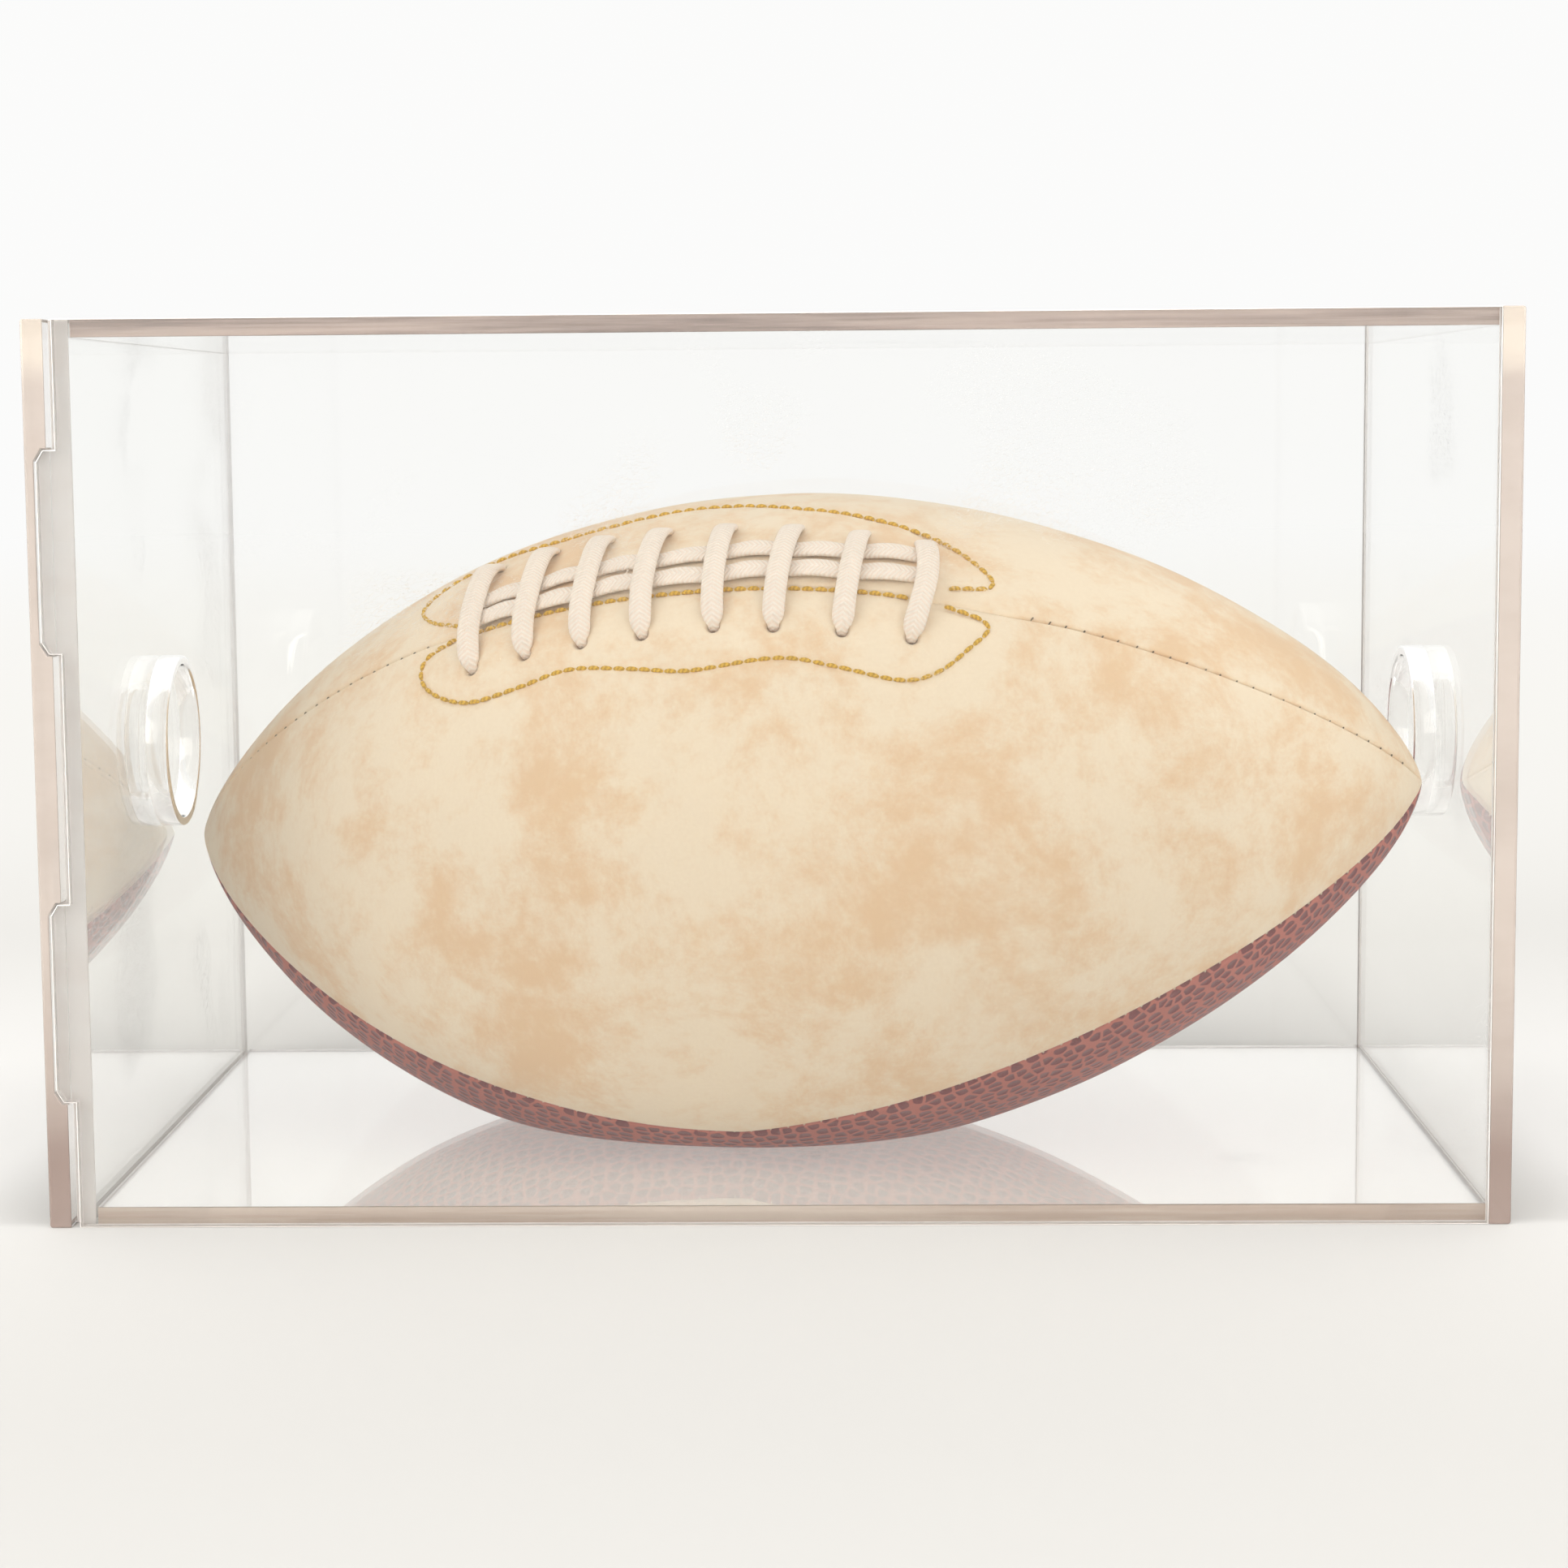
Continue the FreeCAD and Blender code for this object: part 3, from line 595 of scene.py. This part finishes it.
def outline_path(outline, count=500):
    """A smooth path of (station, angle) through an outline's points."""
    shape = np.array(outline)
    padded = np.vstack([2 * shape[0] - shape[1], shape, 2 * shape[-1] - shape[-2]])
    path = []
    for place in np.linspace(0, len(shape) - 1 - 1e-6, count):
        i = int(place)
        t = place - i
        a, b, c, d = padded[i], padded[i + 1], padded[i + 2], padded[i + 3]
        path.append(0.5 * (2 * b + (c - a) * t + (2 * a - 5 * b + 4 * c - d) * t ** 2
                           + (3 * b - a - 3 * c + d) * t ** 3))
    return np.array(path)


def lace_holes(side):
    """(station, angle) of each punched hole on one side of the slit, just past the lace's end."""
    if side < 0:
        return [(cross[0], cross[1] - 0.55) for cross in CROSSES]
    return [(cross[2], cross[3] + 0.55) for cross in CROSSES]


def cross_wave(station):
    """1 at each cross lace and -1 halfway between two."""
    middles = [(cross[0] + cross[2]) / 2 for cross in CROSSES]
    return np.cos(2 * math.pi * np.interp(station, middles, range(len(CROSSES))))


def seam_rounding(distance, arc):
    """How far the leather's edge turns in at a seam."""
    radius = np.minimum(1.25 * MM, 0.16 * arc)
    short = np.clip(radius - distance, 0.0, None)
    return -(radius - np.sqrt(np.maximum(radius ** 2 - short ** 2, 0.0)))


def softly(value, low, high, blend):
    """1 between low and high, and 0 outside, with soft ends."""
    rise = np.clip((value - low) / blend + 0.5, 0, 1)
    fall = np.clip((high - value) / blend + 0.5, 0, 1)
    return rise * rise * (3 - 2 * rise) * fall * fall * (3 - 2 * fall)


def lace_relief(points, station, angle, lace_distance, side):
    """Dimples at the lace holes, the stitched groove, and the tuck along the slit, with a mask of the holes
    where shade is painted.
    """
    holes = [ball_point(*hole) for hole in lace_holes(side)]
    outline = outline_path(LOWER_OUTLINE if side < 0 else UPPER_OUTLINE)
    groove_points = ball_point(outline[:, 0], outline[:, 1])
    hole_distance = near_points(points, holes, 12 * MM)
    groove_distance = near_points(points, groove_points, 6 * MM)
    relief = -1.6 * MM * np.exp(-(hole_distance / (1.45 * MM)) ** 4)
    relief -= 0.35 * MM * np.exp(-(hole_distance / (5.0 * MM)) ** 2)
    relief -= 0.40 * MM * np.exp(-(groove_distance / (0.95 * MM)) ** 2)
    slit = softly(station, -0.47, 0.40, 0.08)
    relief -= 0.5 * MM * slit * np.exp(-(lace_distance / (3.0 * MM)) ** 2)
    tuck = softly(station, 0.27, 0.46, 0.12)
    relief -= 1.0 * MM * tuck * np.exp(-(lace_distance / (3.2 * MM)) ** 2)
    window = softly(station, CROSSES[0][0] - 0.03, CROSSES[-1][0] + 0.03, 0.06)
    middle = 41.0 if side < 0 else 66.0
    relief -= 0.22 * MM * cross_wave(station) * window * np.exp(-((angle - middle) / 5.0) ** 2)
    return relief, np.exp(-(hole_distance / (1.5 * MM)) ** 4)


def soft_waves(points, size, height):
    """Gentle unevenness of the leather."""
    flat = points.reshape(-1, 3) / size
    return height * np.array([noise.noise(Vector(p)) for p in flat]).reshape(points.shape[:-1])


def with_extra(values, extra, gap):
    """Sorted values with extra ones among them, none closer to the last than the gap."""
    merged = np.sort(np.concatenate([values, *extra]))
    keep = [merged[0]]
    for value in merged[1:-1]:
        if value - keep[-1] >= gap and merged[-1] - value >= gap:
            keep.append(value)
    return np.array(keep + [merged[-1]])


def laid_flat(points, arc, width, across):
    """Place along a panel as if it were laid flat: its cross lines bend towards the tips."""
    middle = points[:, points.shape[1] // 2]
    travel = np.concatenate([[0], np.cumsum(np.linalg.norm(np.diff(middle, axis=0), axis=1))])
    radius = arc / np.radians(width[:, 0])
    spread = np.gradient(radius, travel)
    return travel[:, None] - across ** 2 * (spread / (2 * radius + 0.1 * MM))[:, None]


def leather_panel(name, low_seam, turn, high_seam, columns, rows, material, lace_side=0):
    """One leather panel, with edges that turn in along its seams."""
    stations = np.sin(np.linspace(-math.pi / 2, math.pi / 2, columns)) * TIP_STATION
    even = np.linspace(0, 1, rows)
    crowded = 0.5 - 0.5 * np.cos(math.pi * even)
    share = 0.3 * even + 0.7 * crowded
    if lace_side:
        fine = np.arange(-7, 8) * 0.4 * MM / BALL_RIGHT
        stations = with_extra(stations, [hole[0] + fine for hole in lace_holes(lace_side)], 0.0009)
        share = with_extra(share, [np.arange(*HOLE_ROWS[lace_side], 0.0028)], 0.0010)
    columns, rows = len(stations), len(share)
    station = np.repeat(stations[:, None], rows, axis=1)
    low = (seam_angle(low_seam, stations) + turn)[:, None]
    high = seam_angle(high_seam, stations)[:, None]
    angle = low + (high - low) * share[None, :]
    points = ball_point(station, angle)
    normals = ball_normal(station, angle)
    steps = np.linalg.norm(np.diff(points, axis=1), axis=2)
    travel = np.concatenate([np.zeros((columns, 1)), np.cumsum(steps, axis=1)], axis=1)
    arc = travel[:, -1:]
    from_low, from_high = travel, arc - travel
    relief = seam_rounding(from_low, arc) + seam_rounding(from_high, arc)
    relief += soft_waves(points, 30 * MM, 0.25 * MM) * softly(points[..., 2], 12 * MM, 1.0, 10 * MM)
    hole_shade = np.zeros_like(relief)
    if lace_side:
        lace_distance = from_high if lace_side < 0 else from_low
        dents, hole_shade = lace_relief(points, station, angle, lace_distance, lace_side)
        relief += dents
    if lace_side > 0:
        valve = near_points(points, [ball_point(VALVE_STATION, VALVE_ANGLE)], 8 * MM)
        relief -= 0.9 * MM * softly(valve, -1.0, 3.3 * MM, 0.8 * MM)
    relief = np.maximum(relief, DEEPEST_RELIEF)
    points = points + normals * relief[..., None]
    rest = points[..., 2] < FLOOR_Z
    points[..., 2] = np.where(rest, FLOOR_Z, points[..., 2])
    inner_low = points[:, :1] - normals[:, :1] * RIM_DEPTH
    inner_high = points[:, -1:] - normals[:, -1:] * RIM_DEPTH
    grid = np.concatenate([inner_low, points, inner_high], axis=1)
    centre = travel - arc / 2
    across = np.concatenate([centre[:, :1] - RIM_DEPTH, centre, centre[:, -1:] + RIM_DEPTH], axis=1)
    uvs = np.stack([laid_flat(points, arc[:, 0], high - low, across), across], axis=-1).reshape(-1, 2)
    faces = grid_faces(columns, rows + 2, flip=True)
    mesh = mesh_from(name, grid.reshape(-1, 3), faces, uvs)
    # the mask of the holes' painted shade goes to the shader as a point attribute
    holes = np.pad(hole_shade, ((0, 0), (1, 1)), mode="edge")
    mesh.attributes.new("hole_shade", "FLOAT", "POINT").data.foreach_set("value", holes.ravel())
    return new_piece(name + "_skin", mesh, [material], "football", [name])


def thick_patch(name, span, low, high, insets, counts, material):
    """A closed piece of the ball's wall between two insets."""
    columns, rows = counts
    if span is None:
        stations = np.sin(np.linspace(-math.pi / 2, math.pi / 2, columns)) * 0.9985
    else:
        stations = np.linspace(span[0], span[1], columns)
    share = np.linspace(0, 1, rows)[None, :]
    angle = low(stations)[:, None] + (high(stations) - low(stations))[:, None] * share
    station = np.repeat(stations[:, None], rows, axis=1)
    outer = ball_point(station, angle, insets[0])
    inner = ball_point(station, angle, insets[1])
    ring = np.concatenate([outer, inner[:, ::-1]], axis=1)
    around = 2 * rows
    faces = grid_faces(columns, around, flip=True, wrap_rows=True)
    last = (columns - 1) * around
    for j in range(rows - 1):
        faces.append((j, j + 1, around - 2 - j, around - 1 - j))
        faces.append((last + around - 1 - j, last + around - 2 - j, last + j + 1, last + j))
    mesh = mesh_from(name, ring.reshape(-1, 3), faces)
    return new_piece(name + "_layer", mesh, [material], "football", [name])


def facing_edges(side, reach):
    """Angle functions of a facing's two long edges."""
    first, last = FACING_SPAN
    middle, half = (first + last) / 2, (last - first) / 2

    def near(stations):
        return seam_angle(LACE_SEAM, stations) + side * 0.75

    def far(stations):
        bulge = np.maximum(0.0, 1 - np.abs((stations - middle) / half) ** 4) ** 0.5
        return seam_angle(LACE_SEAM, stations) + side * 1.5 + (reach - side * 1.5) * bulge

    return (near, far) if side > 0 else (far, near)


def bladder():
    """The closed rubber bladder, and its inner surface."""
    stations = np.sin(np.linspace(-math.pi / 2, math.pi / 2, 90)) * 0.9985
    angles = np.linspace(0, 360, 72, endpoint=False)
    station, angle = np.meshgrid(stations, angles, indexing="ij")
    outer = ball_point(station, angle, BLADDER_INSET[0]).reshape(-1, 3)
    inner = ball_point(station, angle, BLADDER_INSET[1]).reshape(-1, 3)
    count = len(angles)
    faces = grid_faces(len(stations), count, flip=True, wrap_rows=True)
    faces += grid_faces(len(stations), count, start=len(outer), wrap_rows=True)
    for base, turned in ((0, False), (len(outer), True)):
        end = base + (len(stations) - 1) * count
        start_cap = tuple(range(base, base + count))
        end_cap = tuple(range(end, end + count))
        faces.append(start_cap if turned else start_cap[::-1])
        faces.append(end_cap[::-1] if turned else end_cap)
    mesh = mesh_from("football_bladder", np.concatenate([outer, inner]), faces)
    return new_piece("football_bladder_layer", mesh, [RUBBER], "football",
                     ["football_bladder"])


# ---------------------------------------------------------------- lace and thread

def sweep(points, sides, half_widths, half_heights, around=14, squareness=0.62):
    """Points, faces and UVs of a closed strip: a rounded flat section along a path."""
    points = np.asarray(points)
    tangents = np.gradient(points, axis=0)
    tangents /= np.linalg.norm(tangents, axis=1, keepdims=True)
    sides = np.asarray(sides) - tangents * np.sum(sides * tangents, axis=1, keepdims=True)
    sides /= np.linalg.norm(sides, axis=1, keepdims=True)
    ups = np.cross(tangents, sides)
    travel = np.concatenate([[0], np.cumsum(np.linalg.norm(np.diff(points, axis=0), axis=1))])
    turns = np.linspace(0, 2 * math.pi, around, endpoint=False)
    flat = np.sign(np.cos(turns)) * np.abs(np.cos(turns)) ** squareness
    tall = np.sign(np.sin(turns)) * np.abs(np.sin(turns)) ** 0.8
    rings = (points[:, None] + sides[:, None] * (half_widths[:, None] * flat)[..., None]
             + ups[:, None] * (half_heights[:, None] * tall)[..., None])
    uvs = np.stack([np.repeat(travel[:, None], around, axis=1), half_widths[:, None] * flat], axis=-1)
    faces = grid_faces(len(points), around, flip=True, wrap_rows=True)
    end = (len(points) - 1) * around
    faces.append(tuple(range(around)))
    faces.append(tuple(range(end, end + around))[::-1])
    return rings.reshape(-1, 3), faces, uvs.reshape(-1, 2)


def joined(parts):
    """Several (points, faces, uvs) as one."""
    points, faces, uvs = [], [], []
    start = 0
    for part_points, part_faces, part_uvs in parts:
        points.append(part_points)
        uvs.append(part_uvs)
        faces += [tuple(start + index for index in face) for face in part_faces]
        start += len(part_points)
    return np.concatenate(points), faces, np.concatenate(uvs)


HEADING_AXIS = np.array([math.cos(BALL_HEADING), math.sin(BALL_HEADING), 0.0])


def cross_lace(index, low_station, low, high_station, high):
    """One cross lace: up out of its lower hole, over the two runs and down into its upper hole."""
    share = np.linspace(0, 1, 61)
    angle = low + (high - low) * share
    station = low_station + (high_station - low_station) * share
    normals = ball_normal(station, angle)
    arch = -0.5 * MM + 3.9 * MM * (1 - np.abs(2 * share - 1) ** 3.4) ** 0.72
    bend = (2.0 if index == len(CROSSES) - 1 else random.uniform(-0.5, 0.5)) * MM
    sway = bend * np.sin(math.pi * share) ** 1.2
    path = ball_point(station, angle) + normals * arch[:, None] + HEADING_AXIS * sway[:, None]
    start = [path[0] - normals[0] * depth for depth in (2.2 * MM, 1.1 * MM)]
    end = [path[-1] - normals[-1] * depth for depth in (1.1 * MM, 2.2 * MM)]
    path = np.vstack([start, path, end])
    shares = np.concatenate([[0, 0], share, [1, 1]])
    pinch = np.minimum(1.0, np.minimum(shares, 1 - shares) / 0.085)
    rounded = np.sqrt(1 - (1 - pinch) ** 2)
    widths = LACE_HALF_WIDTH * (0.52 + 0.48 * rounded)
    heights = LACE_HALF_THICKNESS * (1.35 - 0.30 * pinch)
    lean = random.uniform(-0.10, 0.10)
    sides = np.tile(HEADING_AXIS, (len(path), 1)) + np.outer(np.sin(math.pi * shares) * lean, [0, 0, 1.0])
    return sweep(path, sides, widths, heights)


def lace_run(angles, wave_turn):
    """One of the two runs along the slit, pressed down under each cross."""
    station = np.linspace(RUN_SPAN[0], RUN_SPAN[1], 150)
    share = (station - RUN_SPAN[0]) / (RUN_SPAN[1] - RUN_SPAN[0])
    waver = 0.25 * np.sin(2 * math.pi * share * 3.1 + wave_turn)
    angle = angles[0] + (angles[1] - angles[0]) * share + waver
    swell = -cross_wave(station)
    height = (1.05 + 0.32 * swell) * MM
    normals = ball_normal(station, angle)
    path = ball_point(station, angle) + normals * height[:, None]
    tangents = np.gradient(path, axis=0)
    sides = np.cross(normals, tangents)
    sides /= np.linalg.norm(sides, axis=1, keepdims=True)
    widths = np.full(len(path), LACE_HALF_WIDTH) + 0.12 * MM * swell
    heights = np.full(len(path), LACE_HALF_THICKNESS)
    return sweep(path, sides, widths, heights)


def short_stitch(start, end, radius, lift, up):
    """One stitch: a thread that rises out of the leather and dives back in."""
    share = np.linspace(0, 1, 7)
    height = lift * np.sin(math.pi * share) - radius * 0.6
    path = start + (end - start) * share[:, None] + up * height[:, None]
    side = np.cross(up, end - start)
    side /= np.linalg.norm(side)
    ends = 0.55 + 0.45 * np.sin(math.pi * share) ** 0.4
    return sweep(path, np.tile(side, (7, 1)), radius * ends, radius * ends, around=8, squareness=1.0)


def stitch_row(outline):
    """Gold stitches along a path of (station, angle)."""
    path = outline_path(outline, 900)
    points = ball_point(path[:, 0], path[:, 1])
    normals = ball_normal(path[:, 0], path[:, 1])
    travel = np.concatenate([[0], np.cumsum(np.linalg.norm(np.diff(points, axis=0), axis=1))])
    parts = []
    for start in np.arange(0, travel[-1] - STITCH_LENGTH, STITCH_PITCH):
        i = int(np.searchsorted(travel, start))
        j = min(len(points) - 1, int(np.searchsorted(travel, start + STITCH_LENGTH)))
        parts.append(short_stitch(points[i], points[j], THREAD_R, 0.35 * MM, normals[(i + j) // 2]))
    return parts


def facing_stitches(name, *outlines):
    """The gold stitches of one lace facing."""
    parts = [stitch for outline in outlines for stitch in stitch_row(outline)]
    points, faces, uvs = joined(parts)
    mesh = mesh_from(name, points, faces, uvs)
    return new_piece(name + "_thread", mesh, [GOLD], "football", [name])


def seam_stitches(name, seam, spans, material, reach):
    """The closing stitches that show in a seam's valley, every few millimetres."""
    station = np.linspace(-0.985, 0.985, 2400)
    angle = seam_angle(seam, station)
    points = ball_point(station, angle)
    normals = ball_normal(station, angle)
    travel = np.concatenate([[0], np.cumsum(np.linalg.norm(np.diff(points, axis=0), axis=1))])
    parts = []
    for start in np.arange(0, travel[-1], SEAM_STITCH_PITCH):
        i = min(len(points) - 2, int(np.searchsorted(travel, start + random.uniform(0, 0.7) * MM)))
        if not any(first <= station[i] <= last for first, last in spans):
            continue
        tangent = points[i + 1] - points[i]
        tangent /= np.linalg.norm(tangent)
        across = np.cross(normals[i], tangent)
        slant = (across + tangent * 0.45) * reach
        centre = points[i] - normals[i] * 0.75 * MM
        parts.append(short_stitch(centre - slant, centre + slant, SEAM_THREAD_R, 0.40 * MM, normals[i]))
    points, faces, uvs = joined(parts)
    mesh = mesh_from(name, points, faces, uvs)
    return new_piece(name, mesh, [material], "football")


def valve():
    """The rubber valve: a disc with a raised lip and a needle hole, on its stem."""
    top = ball_point(VALVE_STATION, VALVE_ANGLE)
    axis = ball_normal(VALVE_STATION, VALVE_ANGLE)
    side = np.cross(axis, [0.0, 0.0, 1.0])
    side /= np.linalg.norm(side)
    other = np.cross(axis, side)
    # (radius, height above the leather), in millimetres
    profile = ((0.0, -3.2), (0.55, -3.0), (0.55, -1.0), (0.85, -0.72), (1.7, -0.66), (2.5, -0.45),
               (2.85, -0.5), (2.98, -0.8), (2.98, -4.5), (2.4, -5.0), (2.4, -13.2), (0.0, -13.4))
    steps = 48
    points = []
    for i in range(steps):
        turn = 2 * math.pi * i / steps
        out = side * math.cos(turn) + other * math.sin(turn)
        points += [top + out * radius * MM + axis * depth * MM for radius, depth in profile]
    count = len(profile)
    points = np.array(points)
    faces = []
    for i in range(steps):
        a, b = i * count, ((i + 1) % steps) * count
        faces += [(a + j, a + j + 1, b + j + 1, b + j) for j in range(count - 1)]
    mesh = mesh_from("football_valve", points, faces)
    shape = bmesh.new()
    shape.from_mesh(mesh)
    bmesh.ops.remove_doubles(shape, verts=shape.verts, dist=1e-7)
    bmesh.ops.recalc_face_normals(shape, faces=shape.faces)
    shape.to_mesh(mesh)
    shape.free()
    return new_piece("football_valve_plug", mesh, [VALVE_RUBBER], "football",
                     ["football_valve"])


def constant(value):
    return lambda stations: np.full_like(stations, value)


def build_ball():
    leather_panel("football_panel_front", FRONT_LOWER_SEAM, -360.0, LACE_SEAM, 300, 120, CREAM, -1)
    leather_panel("football_panel_upper", LACE_SEAM, 0.0, REAR_UPPER_SEAM, 300, 100, CREAM, 1)
    leather_panel("football_panel_rear", REAR_UPPER_SEAM, 0.0, REAR_LOWER_SEAM, 180, 70, BROWN)
    leather_panel("football_panel_lower", REAR_LOWER_SEAM, 0.0, FRONT_LOWER_SEAM, 180, 70, BROWN)
    quarters = {
        "front": (FRONT_LOWER_SEAM, -360.0, LACE_SEAM),
        "upper": (LACE_SEAM, 0.0, REAR_UPPER_SEAM),
        "rear": (REAR_UPPER_SEAM, 0.0, REAR_LOWER_SEAM),
        "lower": (REAR_LOWER_SEAM, 0.0, FRONT_LOWER_SEAM),
    }
    for side, (first, turn, last) in quarters.items():
        thick_patch("football_lining_" + side, None,
                    lambda stations: seam_angle(first, stations) + turn,
                    lambda stations: seam_angle(last, stations),
                    LINING_INSET, (60, 24), LINING)
    for name, side, reach in (("lower", -1, LOWER_FACING_REACH), ("upper", 1, UPPER_FACING_REACH)):
        low, high = facing_edges(side, reach)
        thick_patch("football_lace_facing_" + name, FACING_SPAN, low, high, FACING_INSET, (60, 14),
                    SPLIT)
    thick_patch("football_lace_tongue", TONGUE_SPAN, constant(TONGUE_ANGLES[0]), constant(TONGUE_ANGLES[1]),
                TONGUE_INSET, (50, 14), SPLIT)
    bladder()
    valve()


def build_lace():
    crosses = [cross_lace(i, *cross) for i, cross in enumerate(CROSSES)]
    points, faces, uvs = joined(crosses)
    mesh = mesh_from("football_lace_crosses", points, faces, uvs)
    new_piece("football_lace_crosses_braid", mesh, [LACE], "football",
              ["football_lace_crosses"])
    for name, angles, turn in (("lower", RUN_LOW_ANGLES, 0.4), ("upper", RUN_HIGH_ANGLES, 2.0)):
        points, faces, uvs = lace_run(angles, turn)
        mesh = mesh_from("football_lace_run_" + name, points, faces, uvs)
        new_piece("football_lace_run_" + name + "_braid", mesh, [LACE], "football",
                  ["football_lace_run_" + name])
    facing_stitches("football_stitching_lower", LOWER_OUTLINE, SLIT_ROW)
    facing_stitches("football_stitching_upper", UPPER_OUTLINE)
    beside_lace = ((SEAM_ENDS[0], -0.50), (0.42, SEAM_ENDS[1]))
    seam_stitches("lace_seam_closing_stitches", LACE_SEAM, beside_lace, DARK_THREAD, 0.55 * MM)
    seam_stitches("front_seam_closing_stitches", FRONT_LOWER_SEAM, (SEAM_ENDS,), PALE_THREAD, 0.65 * MM)
    seam_stitches("rear_seam_closing_stitches", REAR_UPPER_SEAM, (SEAM_ENDS,), PALE_THREAD, 0.65 * MM)
    seam_stitches("under_seam_closing_stitches", REAR_LOWER_SEAM, (SEAM_ENDS,), DARK_THREAD, 0.55 * MM)


# ================================================================ stage, light and camera

def build_floor():
    half = 6.0
    level = -0.05 * MM
    points = [(-half, -half, level), (half, -half, level), (half, half, level), (-half, half, level)]
    mesh = mesh_from("floor", points, [(0, 1, 2, 3)], smooth=False)
    mesh.materials.append(backdrop_paper())
    floor = bpy.data.objects.new("floor", mesh)
    bpy.context.scene.collection.objects.link(floor)


def build_light():
    """A white studio: soft light overhead, and a soft box each side of the camera, stronger on the left."""
    world = bpy.data.worlds.new("studio")
    bpy.context.scene.world = world
    world.use_nodes = True
    tree = world.node_tree
    direction = node(tree, "TexCoord").outputs["Generated"]
    parts = node(tree, "SeparateXYZ", {0: direction})
    overhead = remap(tree, parts.outputs[2], 0.10, 0.95)
    sky = blend_colour(tree, overhead, BACKDROP, (1.30, 1.29, 1.26))
    aside = maths(tree, "ABSOLUTE", parts.outputs[0])
    front = remap(tree, parts.outputs[1], -0.26, -0.03, 1.0, 0.0)
    above_camera = maths(tree, "MULTIPLY", front, remap(tree, parts.outputs[2], 0.10, 0.42))
    lit = blend_colour(tree, above_camera, sky, (1.62, 1.60, 1.55))
    box_width = remap(tree, aside, 0.30, 0.46)
    box_height = between(tree, parts.outputs[2], (-0.02, 0.05), (0.38, 0.48))
    soft_boxes = maths(tree, "MULTIPLY", front, maths(tree, "MULTIPLY", box_width, box_height))
    lit = blend_colour(tree, soft_boxes, lit, (3.90, 3.80, 3.62))
    left_end = remap(tree, parts.outputs[0], -0.40, -0.80)
    lit = blend_colour(tree, maths(tree, "MULTIPLY", soft_boxes, left_end), lit, (5.60, 5.46, 5.24))
    background = tree.nodes["Background"]
    tree.links.new(lit, background.inputs["Color"])
    background.inputs["Strength"].default_value = 1.0


def build_camera():
    data = bpy.data.cameras.new("camera")
    data.lens = CAMERA_LENS
    data.sensor_width = 36.0
    camera = bpy.data.objects.new("camera", data)
    bpy.context.scene.collection.objects.link(camera)
    yaw, pitch, roll = (math.radians(a) for a in (CAMERA_YAW, CAMERA_PITCH, CAMERA_ROLL))
    forward = Vector((-math.sin(yaw) * math.cos(pitch), math.cos(yaw) * math.cos(pitch), math.sin(pitch)))
    level_right = Vector((math.cos(yaw), math.sin(yaw), 0.0))
    level_up = level_right.cross(forward)
    right = math.cos(roll) * level_right + math.sin(roll) * level_up
    up = math.cos(roll) * level_up - math.sin(roll) * level_right
    turn = Matrix((right, up, -forward)).transposed().to_4x4()
    camera.matrix_world = Matrix.Translation(Vector(CAMERA_PLACE) * MM) @ turn
    bpy.context.scene.camera = camera


def set_light_paths():
    """Clear sheets need long light paths, and the plain tones need the plain view transform."""
    scene = bpy.context.scene
    scene.view_settings.view_transform = "Standard"
    scene.cycles.max_bounces = 26
    scene.cycles.transmission_bounces = 24
    scene.cycles.glossy_bounces = 12
    scene.cycles.diffuse_bounces = 4
    scene.cycles.transparent_max_bounces = 24
    scene.cycles.sample_clamp_indirect = 6.0


build_case()
build_ball()
build_lace()
build_floor()
build_light()
build_camera()
set_light_paths()
